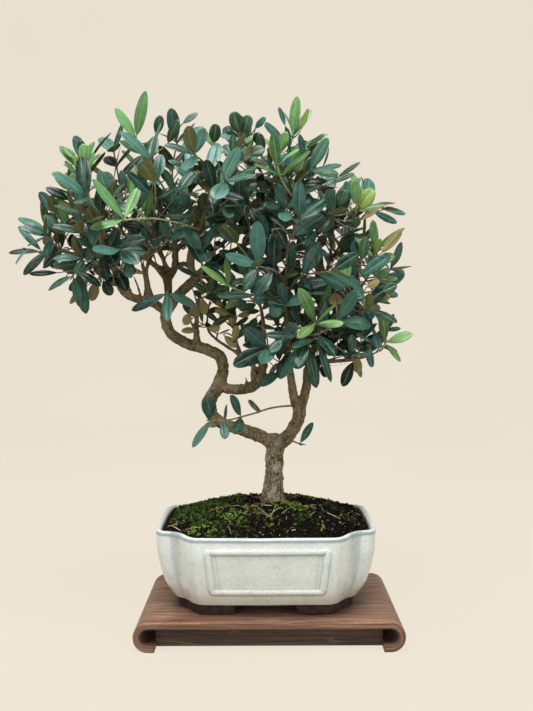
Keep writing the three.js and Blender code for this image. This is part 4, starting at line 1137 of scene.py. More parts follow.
class Room:
    """What has been placed so far: points, the room that each needs, and the shoot that it belongs to."""

    CELL = 4.0

    def __init__(self) -> None:
        """Starts with nothing placed."""
        self.thick: list[tuple[float, float, float, float]] = []
        self.cells: dict[tuple[int, int, int], list[tuple[float, float, float, float, int]]] = {}

    def take_wood(self, points: Array, rooms: Array) -> None:
        """Keeps room round thick wood."""
        self.thick.extend((*p, r) for p, r in zip(points.tolist(), rooms.tolist()))

    def take(self, points: Array, room: float, owner: int) -> None:
        """Keeps room, no more than a cell's width, round the points of a twig or leaf."""
        for x, y, z in points.tolist():
            self.cells.setdefault(self._cell(x, y, z), []).append((x, y, z, room, owner))

    def _cell(self, x: float, y: float, z: float) -> tuple[int, int, int]:
        """Gives the cell in which a point lies."""
        return int(x // self.CELL), int(y // self.CELL), int(z // self.CELL)

    def is_clear(self, points: Array, ignored: int, more: float = 0.0) -> bool:
        """Whether points lie clear of all that is placed, by `more` than its own room.

        Args:
            points: one row for each point.
            ignored: an owner whose room doesn't count.
            more: extra distance, in millimetres.

        Returns:
            True where nothing is too close.
        """
        if not len(points):
            return True
        wood = np.array(self.thick)
        gaps = ((points[:, None, :] - wood[None, :, :3]) ** 2).sum(axis=2)
        if ignored != 0 and (gaps < (wood[:, 3] + more) ** 2).any():
            return False
        for x, y, z in points.tolist():
            i, j, k = self._cell(x, y, z)
            for cell in product((i - 1, i, i + 1), (j - 1, j, j + 1), (k - 1, k, k + 1)):
                for px, py, pz, room, owner in self.cells.get(cell, ()):
                    gap = (x - px) ** 2 + (y - py) ** 2 + (z - pz) ** 2
                    if owner != ignored and gap < (room + more) ** 2:
                        return False
        return True


@dataclass
class Leaf:
    """A leaf where it grows.

    Attributes:
        blade: its middle surface.
        share: how far up its twig it grows.
        seed: starts the dice for its own small differences.
    """

    blade: Blade
    share: float
    seed: int


@dataclass
class Shoot:
    """A twig with its leaves, as one shoot of the tree.

    Attributes:
        line: rows of x, y, z and radius.
        turn: how far its pairs of leaves are turned about it, in radians.
        owner: its number in the tree's room.
        age: whether it is of this year.
        node: the solid that it stands for, if it has one.
        leaves: its leaves.
    """

    line: Array
    turn: float
    owner: int
    age: LeafAge = LeafAge.MATURE
    node: str = ""
    leaves: list[Leaf] = field(default_factory=list)

    def square(self, share: float) -> list[Array]:
        """Gives the four directions square to the twig from which its leaves may grow.

        Args:
            share: where along the twig.

        Returns:
            Four unit vectors, a quarter turn apart.
        """
        chord = unit(self.line[-1][:3] - self.line[0][:3])
        first = turned(unit(np.cross([0.8, 0.5, 0.3], chord)), chord, self.turn)
        forward = heading(self.line, share)
        first = unit(first - forward * np.dot(first, forward))
        second = np.cross(forward, first)
        return [first, second, -first, -second]

    def cloud(self, skipped: float) -> Array:
        """Gives points along the twig that lie at least `skipped` from its foot.

        Args:
            skipped: the distance from the foot, in millimetres.

        Returns:
            One row for each point.
        """
        count = math.ceil(line_length(self.line) / 2.5)
        points = rows_along(self.line, count)[:, :3]
        return points[np.linalg.norm(points - self.line[0][:3], axis=1) >= skipped]

    def give_leaves(self, given: tuple[tuple, ...], room: Room) -> None:
        """Grows leaves that are given by place, tip and width, and whether they are turned over.

        Args:
            given: for each leaf its share of the twig, tip, width and perhaps a 1.
            room: what is placed so far.
        """
        taken: dict[float, list[bool]] = {}
        for number, (share, tip, width, *over) in enumerate(given):
            dice = Dice(self.owner * 100 + number)
            root = along(self.line, share)[:3]
            sides = taken.setdefault(share, [False] * 4)
            tip = np.array(tip, float)
            ways = [float(np.dot(out, tip - root)) for out in self.square(share)]
            side = max(range(4), key=lambda k: -math.inf if sides[k] else ways[k])
            for attempt in range(12):
                if sides[side]:
                    break
                reach = float(np.linalg.norm(tip - root)) * 0.05 * attempt
                moved = tip + scattered(dice, reach, reach, reach)
                facing = np.array([dice.spread(0.35), -0.7, 0.7]) * (-1 if over else 1)
                blade = Blade(root, moved, facing, width)
                if room.is_clear(blade.cloud(), self.owner):
                    sides[side] = True
                    self.leaves.append(Leaf(blade, share, self.owner * 100 + number))
                    room.take(blade.cloud(), RULE.leaf_room, -1)

    def rule_leaves(
        self, room: Room, size: float = 32.0, bare: float = RULE.bare, clear: float = RULE.leaf_room
    ) -> None:
        """Grows opposite pairs, each a quarter turn from the last, and two pairs crossed at the tip.

        Args:
            room: what is placed so far.
            size: the leaves' usual length.
            bare: the share of the twig below the first pair.
            clear: the room that each leaf keeps.
        """
        pairs = max(1, math.floor(line_length(self.line) * (0.96 - bare) / RULE.internode + 0.5) - 1)
        for pair in range(pairs + 1):
            share = 1.0 if pair == pairs else mix(bare, 1.0, pair / (pairs + 0.3))
            root = along(self.line, share)[:3]
            forward = heading(self.line, share)
            first = pair % 2
            facing = unit(root - CROWN_MIDDLE) * 0.35 + forward * 0.45 + np.array([0.0, -0.5, 0.6])
            for side in (first, first + 2, 1 - first, 3 - first)[: 4 if pair == pairs else 2]:
                dice = Dice(self.owner * 100 + pair * 4 + side)
                length = size + dice.spread(6)
                width = length * (0.4 + dice.spread(0.05))
                for attempt in range(10):
                    aside = math.radians(dice.spread(min(10 + 5 * attempt, 45)))
                    outer = pair < pairs or side % 2 != first
                    splay = math.radians((62 if outer else 34) + dice.spread(10 + 2 * attempt))
                    out = turned(self.square(share)[side], forward, aside)
                    reach = length * (1 - 0.04 * attempt)
                    tip = root + forward * (reach * math.cos(splay)) + out * (reach * math.sin(splay))
                    tip[2] += 0.1 * reach
                    blade = Blade(root, tip, facing, width)
                    if room.is_clear(blade.cloud(), self.owner):
                        self.leaves.append(Leaf(blade, share, self.owner * 100 + pair * 4 + side))
                        room.take(blade.cloud(), clear, -1)
                        break


def twig_line(plan: ShootPlan, dice: Dice, wander: float) -> Array:
    """Leads a twig from its limb through the points of its plan.

    Args:
        plan: where it starts and what leads it.
        dice: for how it strays.
        wander: how far it strays, in millimetres.

    Returns:
        Rows of x, y, z and radius.
    """
    points = LIMBS[plan.limb]
    start = along(points, plan.share)[:3]
    away = heading(points, plan.share)
    if plan.share == 1:
        start = start + away * RULE.gap
    guides = [np.array(p, float) for p in plan.to]
    if len(guides) == 1:
        reach = np.linalg.norm(guides[0] - start)
        lead = unit(guides[0] - start) * (0.8 if plan.share == 1 else 1.5) + away
        guides.insert(0, start + unit(lead) * (reach * 0.45))
    if wander:
        guides[0] = guides[0] + scattered(dice, wander, wander, wander)
    line = [start, *guides]
    return np.array([[*p, mix(RULE.base, RULE.tip, i / (len(line) - 1))] for i, p in enumerate(line)])


class Growth:
    """Grows every shoot of the tree in room that none has to share."""

    def __init__(self) -> None:
        """Keeps room round the wood, then grows the shoots that have solids."""
        self.room = Room()
        for points in LIMBS.values():
            rows = rows_along(points, math.ceil(line_length(points) / 3))
            self.room.take_wood(rows[:, :3], rows[:, 3] + 1.4)
        self.shoots = [self._twig(index + 1, shoot) for index, shoot in enumerate(SHOOTS)]
        for shoot, plan in zip(self.shoots, SHOOTS):
            shoot.give_leaves(plan.leaves, self.room)
        for shoot, plan in zip(self.shoots, SHOOTS):
            if not plan.leaves:
                shoot.rule_leaves(self.room)
        LOG.info("%d shoots with %d leaves", len(self.shoots), sum(len(s.leaves) for s in self.shoots))

    def _twig(self, owner: int, plan: ShootPlan) -> Shoot:
        """Finds a clear line for one shoot's twig.

        Args:
            owner: the shoot's number.
            plan: where it grows.

        Returns:
            The shoot, without its leaves.
        """
        radius = along(LIMBS[plan.limb], plan.share)[3]
        dice = Dice(owner * 31)
        turn = dice.roll() * math.pi
        number = 1 + sum(other.limb == plan.limb for other in SHOOTS[: owner - 1])
        kind = "young" if plan.age is LeafAge.YOUNG else "leafy"
        shoot = Shoot(np.zeros((2, 4)), turn, owner, plan.age, f"{kind}_shoot_{plan.limb}_{number}")
        for attempt in range(14):
            shoot.line = twig_line(plan, dice, attempt * 1.2)
            if self.room.is_clear(shoot.cloud(radius + (3 if plan.share == 1 else 9)), owner, 0.7):
                break
        self.room.take(shoot.cloud(0), RULE.room, owner)
        return shoot


# ---------------------------------------------------------------- leaves and twigs
TWIG_SLOT = 2  # after the slots of a leaf's upper side and underside
MARGIN_ANGLE = math.radians(60)  # the margins of leaves and tips of buds are sharper than this


class LeafGrade(Enum):
    """How finely a leaf is made: how many places along it and across half of it."""

    FINE = (11, (0.0, 0.09, 0.42, 0.76, 1.0))
    PLAIN = (8, (0.0, 0.12, 0.6, 1.0))


@dataclass
class LeafCutter:
    """Makes the leathery body of an olive leaf, with its stalk, on a blade's middle surface."""

    grade: LeafGrade
    thickness: float = 0.55

    def add(self, skin: Skin, leaf: Leaf, tone: float, hue: float, top: int = 0, under: int = 1) -> None:
        """Adds one leaf to a skin, with its stalk in the twig's slot.

        Args:
            skin: what it is added to.
            leaf: where it grows.
            tone: how light it is, from 0 to 1.
            hue: how olive it is, from 0 to 1.
            top: the material slot of its upper side.
            under: the slot of its underside.
        """
        dice = Dice(leaf.seed + 7)
        blade = leaf.blade
        rows, half = self.grade.value
        across = np.array([-a for a in reversed(half[1:])] + list(half))
        share = 0.07 + 0.93 * (np.arange(rows) / (rows - 1)) ** 0.92
        share[-1] = 0.997
        s, a = np.repeat(share, len(across)), np.tile(across, rows)
        twist = math.radians(dice.spread(16)) * (s - 0.1)
        wave = dice.spread(0.05) * np.sin(s * 7.5 + dice.roll() * 6) * np.abs(a)
        body = np.sin(math.pi * s ** (1.12 + 0.24 * dice.roll())).clip(0)
        profile = body ** (0.86 - (0.4 + 0.14 * dice.roll()) * s) * np.clip((s - 0.05) / 0.13, 0, 1) ** 0.5
        out = a * blade.half_width * 1.06 * profile
        bend = RULE.sag * blade.length * s**2 - dice.spread(0.03) * blade.length * np.sin(s * math.pi)
        lift = RULE.fold * np.abs(out) - 0.16 * np.abs(out) * np.abs(a) ** 3 - bend + wave * blade.half_width
        middle = (blade.root + np.outer(blade.length * s, blade.forward)
                  + np.outer(out * np.cos(twist), blade.side) + np.outer(lift + out * np.sin(twist), blade.up))
        thick = self.thickness * (0.35 + 0.65 * body) * (1 - 0.45 * np.abs(a))
        groove = np.where(np.abs(a) < 0.01, 0.16, 0.0) * body
        ridge = np.where(np.abs(a) < 0.01, 0.42, 0.0) * (1 - 0.6 * s)
        upper = middle + np.outer(thick / 2 - groove, blade.up)
        lower = middle - np.outer(thick / 2 + ridge, blade.up)
        faces_top, faces_under = self._faces(rows, len(across))
        start = len(skin.points)
        marks = {"along": np.tile(s, 2), "across": np.tile(a, 2), "tone": tone, "hue": hue}
        skin.add(np.vstack([upper, lower]), faces_top, top, **marks)
        skin.faces.extend(tuple(start + i for i in face) for face in faces_under)
        skin.slots.extend([under] * len(faces_under))
        stem = np.array([[*blade.points(np.array([t]), np.array([0.0]))[0], r]
                         for t, r in ((0.0, 0.7), (0.045, 0.52), (0.1, 0.42))])
        points, faces = tube(stem, 5, 4)
        skin.add(points, faces, TWIG_SLOT, tone=tone)


    @staticmethod
    def _faces(rows: int, wide: int) -> tuple[list[Face], list[Face]]:
        """Gives the faces of a leaf's upper side, and those of its underside and rim.

        Args:
            rows: how many rows of points it has.
            wide: how many points a row has.

        Returns:
            The two lists of faces.
        """
        count = rows * wide
        top, under = [], []
        for i in range(rows - 1):
            for p in range(i * wide, (i + 1) * wide - 1):
                top.append((p, p + 1, p + 1 + wide, p + wide))
                under.append((count + p, count + p + wide, count + p + 1 + wide, count + p + 1))
            left, right = i * wide, (i + 1) * wide - 1
            under.append((left, left + wide, count + left + wide, count + left))
            under.append((count + right, count + right + wide, right + wide, right))
        last = count - wide
        under += [(count + p, count + p + 1, p + 1, p) for p in range(wide - 1)]
        under += [(p, p + 1, count + p + 1, count + p) for p in range(last, count - 1)]
        return top, under


@dataclass
class TwigMaker:
    """Makes a twig with its swollen joints and the buds in them."""

    sides: int = 7

    def add(self, skin: Skin, shoot: Shoot) -> None:
        """Adds one shoot's twig, with buds in the slot of the leaves' upper side.

        Args:
            skin: what it is added to.
            shoot: the twig's shoot.
        """
        length = line_length(shoot.line)
        joints = sorted({leaf.share for leaf in shoot.leaves})
        count = max(6, round(length / 2.4))
        rows = []
        for i in range(count + 1):
            share = i / count
            row = along(shoot.line, share).copy()
            near = min((abs(share - joint) for joint in joints), default=1.0) * length
            swollen = 1 + 0.38 * math.exp(-((near / 1.5) ** 2))
            row[3] *= 0.86 * swollen * (1 + 0.25 * max(0.0, 1 - share * length / 5))
            rows.append(row)
        points, faces = tube(np.array(rows), self.sides, 2.4)
        skin.add(points, faces, TWIG_SLOT, tone=0.5)
        dice = Dice(shoot.owner + 900)
        tip = along(shoot.line, 1.0)[:3]
        forward = heading(shoot.line, 1.0)
        for side in range(2):
            out = shoot.square(1.0)[1 + 2 * side]
            self._bud(skin, tip, unit(forward + out * 0.28), 5.5 + dice.spread(2), 1.5)
        for joint in joints[:-1]:
            at = along(shoot.line, joint)
            for out in shoot.square(joint):
                if dice.roll() < 0.32:
                    base = at[:3] + out * at[3] * 0.7
                    self._bud(skin, base, unit(heading(shoot.line, joint) + out), 2.4 + dice.spread(0.8), 0.8)

    def _bud(self, skin: Skin, base: Array, forward: Array, length: float, width: float) -> None:
        """Adds a small pointed bud.

        Args:
            skin: what it is added to.
            base: where it sits.
            forward: the way it points.
            length: its length.
            width: its greatest width.
        """
        profile = ((0, 0.5), (0.35, 0.6), (0.7, 0.38), (1, 0.06))
        line = [[*(base + forward * length * t), width * r] for t, r in profile]
        points, faces = tube(np.array(line), 5, length / 3)
        skin.add(points, faces, 0, tone=0.8, along=0.4, across=0.5)


CROWN_LEFT_END = -238.0


@dataclass(frozen=True)
class Region:
    """A part of the crown that small inner twigs fill.

    Attributes:
        name: the name of its piece.
        limbs: the limbs that its twigs grow from.
        spacing: how far apart they grow, in millimetres.
        thickest: the largest limb radius that bears one.
        length: the twigs' usual length.
        leaf: the usual length of its leaves.
        lowest: the height that no leaf of it hangs below.
        olive: how olive its leaves are at least, from 0 to 1.
    """

    name: str
    limbs: tuple[str, ...]
    spacing: float = 8.5
    thickest: float = 3.2
    length: float = 29.0
    leaf: float = 24.5
    lowest: float = 0.0
    olive: float = 0.0


REGIONS = (
    Region("inner_leaves_far_left", ("far_left", "left_tip", "left_back", "left_front")),
    Region("inner_leaves_left_crown", ("crown_mid", "upright_front", "upright_back", "crown_back_left"),
           lowest=374.0),
    Region("inner_leaves_mid_crown", ("crown_centre", "crown_front", "crown_back", "crown_bridge"), lowest=378.0),
    Region("inner_leaves_crown_right", ("crown_right",), lowest=374.0),
    Region("inner_leaves_low_middle", ("low_fork", "stump", "low_riser", "low_branch"), 22.0, 2.4, 17.0, 19.0,
           290.0, 0.8),
    Region("inner_leaves_centre", ("centre_up", "centre_back", "centre_front")),
    Region("inner_leaves_right_crown", ("right_upper", "right_crown", "right_crown_back"), 10.0, 3.2, 25.0),
    Region("inner_leaves_right_front", ("right_front",), 9.5, 4.1, 34.0),
    Region("inner_leaves_right_low", ("right_low", "right_out"), 10.0, 3.2, 22.0, 23.0, 266.0),
    Region("inner_leaves_right_back", ("right_back",), 10.5, 3.2, 34.0),
)


@dataclass
class InnerTwigs:
    """Small leafy twigs on the thinner limbs, grown in the room that the shoots leave."""

    growth: Growth
    next_owner: int = 200

    def grow(self, region: Region) -> list[Shoot]:
        """Grows one region's twigs.

        Args:
            region: which limbs bear them, and how closely.

        Returns:
            The twigs that found room, each with its leaves.
        """
        grown = []
        for limb in region.limbs:
            points = LIMBS[limb]
            count = max(1, round(line_length(points) / region.spacing))
            for i in range(count):
                share = (i + 0.6) / count
                at = along(points, share)
                self.next_owner += 1
                if at[3] > region.thickest:
                    continue
                shoot = self._twig(points, share, at, region)
                if shoot and shoot.leaves:
                    grown.append(shoot)
        return grown

    def _twig(self, points: Array, share: float, at: Array, region: Region) -> Shoot | None:
        """Looks for a clear way out of a limb for one twig.

        Args:
            points: the limb's line.
            share: where along it the twig starts.
            at: the limb's place and radius there.
            region: the rules of its part of the crown.

        Returns:
            The twig with its leaves, or None where none found room.
        """
        dice = Dice(self.next_owner * 17)
        forward = heading(points, share)
        turn = dice.roll() * math.pi
        for attempt in range(16):
            aside = unit(turned(unit(np.cross(forward, [0.3, 0.2, 1.0])), forward, dice.roll() * 2 * math.pi))
            length = region.length * (1 - 0.03 * attempt) + dice.spread(6)
            way = unit(aside + forward * 0.55 + np.array([0.0, 0.0, 0.35 + dice.spread(0.3)]))
            start = at[:3] + aside * at[3] * 0.4
            bend = unit(way + np.array([dice.spread(0.3), dice.spread(0.3), 0.25]))
            middle = start + way * length * 0.5
            end = middle + bend * length * 0.5
            line = np.array([[*start, 0.85], [*middle, 0.7], [*end, 0.55]])
            shoot = Shoot(line, turn, self.next_owner)
            room = self.growth.room
            if end[2] > region.lowest and room.is_clear(shoot.cloud(at[3] + 3.5), self.next_owner, -0.2):
                room.take(shoot.cloud(0), 2.2, self.next_owner)
                shoot.rule_leaves(room, region.leaf, 0.3, 1.9)
                shoot.leaves = [leaf for leaf in shoot.leaves if self._is_inside(leaf, region)]
                return shoot
        return None

    def _is_inside(self, leaf: Leaf, region: Region) -> bool:
        """Whether a leaf's tip stays above its region's foot and within the crown's left end."""
        tip = leaf.blade.points(np.ones(1), np.zeros(1))[0]
        return tip[2] > region.lowest and tip[0] > CROWN_LEFT_END


class Look(Enum):
    """How a leaf placed by itself looks: its tone, how olive it is, and whether it shows its underside."""

    TEAL = (0.55, 0.0, False)
    DARK = (0.08, 0.1, False)
    GREEN = (0.3, 0.45, False)
    OLIVE = (0.45, 0.8, False)
    KHAKI = (0.75, 0.75, True)
    FRESH = (0.6, 0.15, False)
    LIME = (0.7, 0.95, False)


T, D, G, O, K, F, L = Look


@dataclass(frozen=True)
class Cluster:
    """Leaves that are placed one by one, each on a thin twig from the wood nearest to it.

    Attributes:
        name: the name of its piece.
        depth: where they lie, in millimetres behind the stand's middle.
        leaves: for each, x and z where it starts, x and z where it ends, its width and its look.
    """

    name: str
    depth: float
    leaves: tuple[tuple[float, float, float, float, float, Look], ...]


CLUSTERS = (
    Cluster("placed_leaves_far_left", -16, (
        (-209, 383, -241, 392, 8, T), (-202, 348, -231, 347, 6, D), (-185, 341, -190, 330, 8, D),
        (-175, 340, -191, 318, 6, K), (-176, 335, -183, 317, 8, D), (-168, 341, -174, 321, 10, K),
        (-160, 354, -153, 338, 9, D), (-159, 341, -151, 326, 10, D), (-138, 360, -130, 346, 9, G),
        (-142, 395, -155, 361, 13, D), (-145, 369, -155, 352, 11, D), (-175, 389, -156, 375, 9, D),
        (-206, 384, -212, 407, 11, O), (-210, 382, -214, 364, 11, T), (-207, 357, -211, 375, 9, O),
        (-182, 383, -206, 391, 9, D), (-201, 410, -222, 422, 10, O), (-188, 392, -211, 409, 7, F),
        (-192, 395, -199, 412, 8, F), (-189, 394, -183, 415, 7, F), (-188, 430, -206, 442, 10, T),
        (-192, 418, -214, 430, 9, D), (-170, 372, -186, 360, 10, D), (-164, 360, -178, 350, 9, G),
        (-150, 386, -166, 398, 10, D), (-180, 366, -196, 354, 9, D), (-146, 352, -138, 336, 9, D),
        (-196, 372, -216, 352, 9, D))),
    Cluster("placed_leaves_low_middle", -6, (
        (-65, 386, -65, 358, 11, T), (-42, 348, -47, 362, 9, F), (-38, 337, -62, 355, 8, F),
        (-44, 347, -34, 362, 6, F), (-15, 345, -37, 355, 9, T), (-32, 332, -39, 349, 9, T),
        (-50, 333, -61, 349, 9, G), (-38, 323, -65, 334, 9, K), (-22, 320, -50, 325, 8, D),
        (-37, 307, -52, 312, 7, K), (-65, 324, -62, 307, 9, K), (-71, 318, -71, 305, 10, K),
        (-77, 309, -82, 297, 9, K), (-60, 294, -47, 293, 8, K), (-70, 292, -85, 291, 7, K),
        (-37, 305, -55, 296, 7, G), (-44, 287, -31, 275, 8, K), (-34, 280, -30, 296, 7, K),
        (-11, 305, -19, 289, 9, O), (-32, 315, -18, 313, 7, K), (-31, 305, -17, 309, 6, K),
        (-20, 320, -33, 315, 8, G), (-50, 352, -66, 344, 9, G), (-56, 340, -70, 326, 8, K))),
    Cluster("placed_leaves_centre", -44, (
        (16, 333, 18, 314, 14, T), (12, 322, 5, 304, 14, T), (2, 322, -14, 320, 10, T), (3, 343, -16, 327, 9, D),
        (10, 344, -14, 360, 8, T), (19, 344, 24, 376, 10, T), (4, 385, 7, 360, 12, D), (22, 386, 5, 377, 9, T),
        (28, 286, -2, 288, 8, T), (44, 287, 22, 274, 11, T), (39, 276, 25, 256, 12, T), (23, 272, 10, 247, 13, D),
        (39, 274, 45, 249, 12, D), (51, 273, 39, 243, 8, D), (49, 259, 54, 248, 7, D), (62, 288, 51, 273, 9, T),
        (14, 285, 2, 272, 10, T), (-10, 297, -21, 280, 9, D), (-10, 324, -47, 324, 8, T), (49, 301, 58, 334, 9, F),
        (49, 300, 68, 306, 7, O), (66, 330, 61, 350, 12, L), (73, 337, 72, 359, 12, F))),
    Cluster("placed_leaves_right", -34, (
        (81, 263, 70, 239, 10, D), (85, 267, 85, 251, 9, K), (94, 278, 97, 257, 7, T), (100, 289, 105, 274, 9, T),
        (89, 313, 98, 292, 10, T), (72, 320, 91, 323, 7, T), (72, 306, 95, 312, 9, T), (63, 296, 86, 295, 8, T),
        (93, 332, 105, 338, 8, K), (101, 320, 116, 324, 8, K), (96, 316, 107, 311, 8, K), (91, 302, 90, 287, 8, G),
        (63, 328, 63, 315, 12, K), (106, 327, 121, 334, 9, O))),
    Cluster("placed_leaves_crown_right", -28, (
        (87, 405, 100, 426, 15, L), (84, 409, 82, 433, 11, F), (88, 396, 107, 409, 5, K), (83, 388, 83, 397, 9, O),
        (66, 404, 72, 422, 11, G), (59, 403, 61, 418, 11, D), (59, 431, 83, 442, 6, G), (66, 437, 88, 451, 5, G),
        (106, 363, 125, 385, 8, K), (100, 378, 100, 395, 7, F), (88, 356, 93, 380, 10, O), (84, 356, 83, 378, 8, T),
        (86, 341, 115, 362, 12, T), (103, 340, 116, 350, 8, F), (102, 363, 107, 378, 7, L), (18, 401, -4, 411, 9, T),
        (21, 404, 26, 427, 11, D), (17, 409, -2, 435, 8, D), (26, 397, 47, 398, 9, T), (30, 406, 42, 420, 11, T))),
    Cluster("placed_leaves_crown_top", -26, (
        (31, 482, 39, 503, 5, L), (17, 485, 11, 504, 5, T), (18, 470, -3, 489, 9, T), (10, 456, 18, 476, 11, F),
        (5, 452, 5, 472, 8, L), (26, 440, 36, 465, 14, F), (26, 468, 38, 472, 6, D), (36, 465, 54, 478, 5, O),
        (-26, 476, -32, 496, 13, G), (-23, 476, -17, 493, 13, G), (-5, 459, -8, 479, 9, G),
        (-23, 452, -31, 472, 10, T), (-28, 467, -12, 479, 7, F), (-12, 485, -2, 495, 6, T),
        (-16, 459, -3, 465, 13, O), (-11, 470, -9, 480, 9, O), (-20, 411, 4, 385, 16, D), (-60, 397, -41, 399, 9, D),
        (-51, 470, -49, 488, 11, G), (-47, 464, -65, 487, 8, F))),
    Cluster("placed_leaves_crown_left", -26, (
        (-96, 470, -84, 491, 10, G), (-107, 478, -102, 497, 9, G), (-82, 489, -67, 500, 7, T),
        (-63, 430, -87, 447, 9, T), (-48, 442, -48, 454, 14, T), (-57, 427, -39, 430, 8, T),
        (-116, 458, -116, 473, 9, O), (-113, 452, -105, 480, 9, T), (-108, 409, -105, 429, 13, T),
        (-90, 402, -91, 428, 13, T), (-74, 407, -80, 419, 12, T), (-190, 425, -199, 442, 9, L),
        (-177, 423, -182, 438, 9, L), (-174, 437, -179, 456, 10, L), (-170, 445, -171, 466, 11, F),
        (-181, 454, -194, 466, 7, F), (-177, 460, -178, 473, 8, G), (-136, 425, -140, 445, 8, T),
        (-133, 422, -129, 447, 11, F), (-125, 409, -127, 427, 13, L), (-121, 406, -113, 421, 8, L),
        (-144, 404, -146, 416, 7, L), (-175, 385, -202, 390, 9, D), (-125, 380, -128, 397, 10, D),
        (-115, 398, -115, 385, 11, T), (-113, 368, -136, 380, 10, D))),
)


@dataclass
class PlacedLeaves:
    """Finds room for the leaves that are placed one by one, and leads their twigs."""

    growth: Growth
    next_seed: int = 90000

    def __post_init__(self) -> None:
        """Gathers the wood that their twigs may leave from."""
        rows = [rows_along(line, 40) for name, line in LIMBS.items() if name != "trunk"]
        rows += [rows_along(shoot.line, 8) for shoot in self.growth.shoots]
        self.wood = np.vstack(rows)[:, :3]

    def grow(self, cluster: Cluster) -> list[tuple[Leaf, Look, Array]]:
        """Grows one cluster.

        Args:
            cluster: where its leaves lie.

        Returns:
            Each leaf that finds room, its look and its twig's line.
        """
        grown = []
        for x, z, end_x, end_z, width, look in cluster.leaves:
            self.next_seed += 10
            dice = Dice(self.next_seed)
            for aside in (0, -6, 6, -12, 12, -18, 18, 24):
                root = np.array([x, cluster.depth + aside + dice.spread(2), z], float)
                tip = np.array([end_x, root[1] - 3 + dice.spread(6), end_z], float)
                facing = np.array([dice.spread(0.3), -0.9, 0.45]) * (-1 if look.value[2] else 1)
                blade = Blade(root, tip, facing, width)
                if self.growth.room.is_clear(blade.cloud(), -2, -0.8):
                    self.growth.room.take(blade.cloud(), 2.2, -1)
                    grown.append((Leaf(blade, 1.0, self.next_seed), look, self._stem(root, tip)))
                    break
        LOG.info("%s: %d of %d leaves found room", cluster.name, len(grown), len(cluster.leaves))
        return grown

    def _stem(self, root: Array, tip: Array) -> Array:
        """Leads a thin twig from the nearest wood, better from below, to where a leaf starts.

        Args:
            root: where the leaf starts.
            tip: where it ends.

        Returns:
            Rows of x, y, z and radius.
        """
        reach = np.linalg.norm(self.wood - root, axis=1) + 0.5 * np.clip(self.wood[:, 2] - root[2], 0, None)
        start = self.wood[int(np.argmin(reach))]
        length = float(np.linalg.norm(root - start))
        middle = (start + root) / 2 - unit(tip - root) * 0.18 * length + [0.0, 0.0, 0.06 * length]
        return np.array([[*start, 0.8], [*middle, 0.68], [*root, 0.55]])


@dataclass
class Foliage:
    """Every leafy shoot of the tree as its own piece, the leaves placed singly and the small inner twigs."""

    finishes: Finishes
    growth: Growth

    def dress(self) -> None:
        """Makes the shoots that have solids, then the leaves placed one by one, then the inner twigs."""
        for shoot in self.growth.shoots:
            skin = Skin()
            self._fill(skin, shoot, LeafGrade.FINE, 8)
            self._piece(shoot.node + "_leaves", skin, shoot.age, shoot.node)
        placed = PlacedLeaves(self.growth)
        for cluster in CLUSTERS:
            self._cluster(cluster.name, placed.grow(cluster))
        inner = InnerTwigs(self.growth)
        for region in REGIONS:
            twigs = inner.grow(region)
            skin = Skin()
            for twig in twigs:
                self._fill(skin, twig, LeafGrade.PLAIN, 5, region.olive)
            if twigs:
                self._piece(region.name, skin, LeafAge.MATURE)
                LOG.info("%s: %d twigs, %d leaves", region.name, len(twigs), sum(len(t.leaves) for t in twigs))

    def _cluster(self, name: str, grown: list[tuple[Leaf, Look, Array]]) -> None:
        """Makes the piece of one cluster's leaves and their twigs.

        Args:
            name: the piece's name.
            grown: each leaf, its look and its twig's line.
        """
        skin = Skin()
        cutter = LeafCutter(LeafGrade.FINE)
        for leaf, look, stem in grown:
            dice = Dice(leaf.seed)
            tone, hue, _ = look.value
            top, under = (3, 4) if look in (Look.FRESH, Look.LIME) else (0, 1)
            cutter.add(skin, leaf, held(tone + dice.spread(0.12)), hue, top, under)
            if line_length(stem) > 2:
                skin.add(*tube(stem, 6, 2.5), TWIG_SLOT, tone=0.5)
        f = self.finishes
        skin.piece(name, [f.leaf_top, f.leaf_under, f.twig, f.young_top, f.young_under], "leaf_mature")

    def _fill(self, skin: Skin, shoot: Shoot, grade: LeafGrade, sides: int, olive: float = 0.0) -> None:
        """Adds a shoot's twig and leaves, at least as olive as `olive`, to a skin.

        Args:
            skin: what they are added to.
            shoot: the shoot.
            grade: how finely its leaves are made.
            sides: how many sides its twig has.
            olive: how olive its leaves are at least.
        """
        TwigMaker(sides).add(skin, shoot)
        cutter = LeafCutter(grade)
        old = shoot.age is LeafAge.MATURE
        fresh_from, spread, most_olive, rarity = (4, 0.32, 0.62, 3.2) if old else (1, 0.5, 1.0, 1.3)
        for leaf in shoot.leaves:
            dice = Dice(leaf.seed + 31)
            tone = held(0.2 + 0.3 * leaf.share**fresh_from + dice.spread(spread) + 0.42 * dice.roll() ** 5)
            cutter.add(skin, leaf, tone, held(olive + (1 - olive) * most_olive * dice.roll() ** rarity))

    def _piece(self, name: str, skin: Skin, age: LeafAge, *nodes: str) -> None:
        """Makes a piece in the finishes of its age.

        Args:
            name: the piece's name.
            skin: its shape.
            age: how old its leaves are.
            *nodes: the solids that it stands for.
        """
        f = self.finishes
        if age is LeafAge.YOUNG:
            made = skin.piece(name, [f.young_top, f.young_under, f.young_twig], "leaf_young", *nodes)
        else:
            made = skin.piece(name, [f.leaf_top, f.leaf_under, f.twig], "leaf_mature", *nodes)
        made.data.set_sharp_from_angle(angle=MARGIN_ANGLE)


# ---------------------------------------------------------------- trunk and limbs
@dataclass(frozen=True)
class Scar:
    """A healed cut on the wood: a raised collar round a hollow.

    Attributes:
        limb: the limb that it is on.
        share: where along it.
        turn: which way it faces about the limb, in degrees from the front towards the right.
        radius: its collar's radius, in millimetres.
    """

    limb: str
    share: float
    turn: float
    radius: float


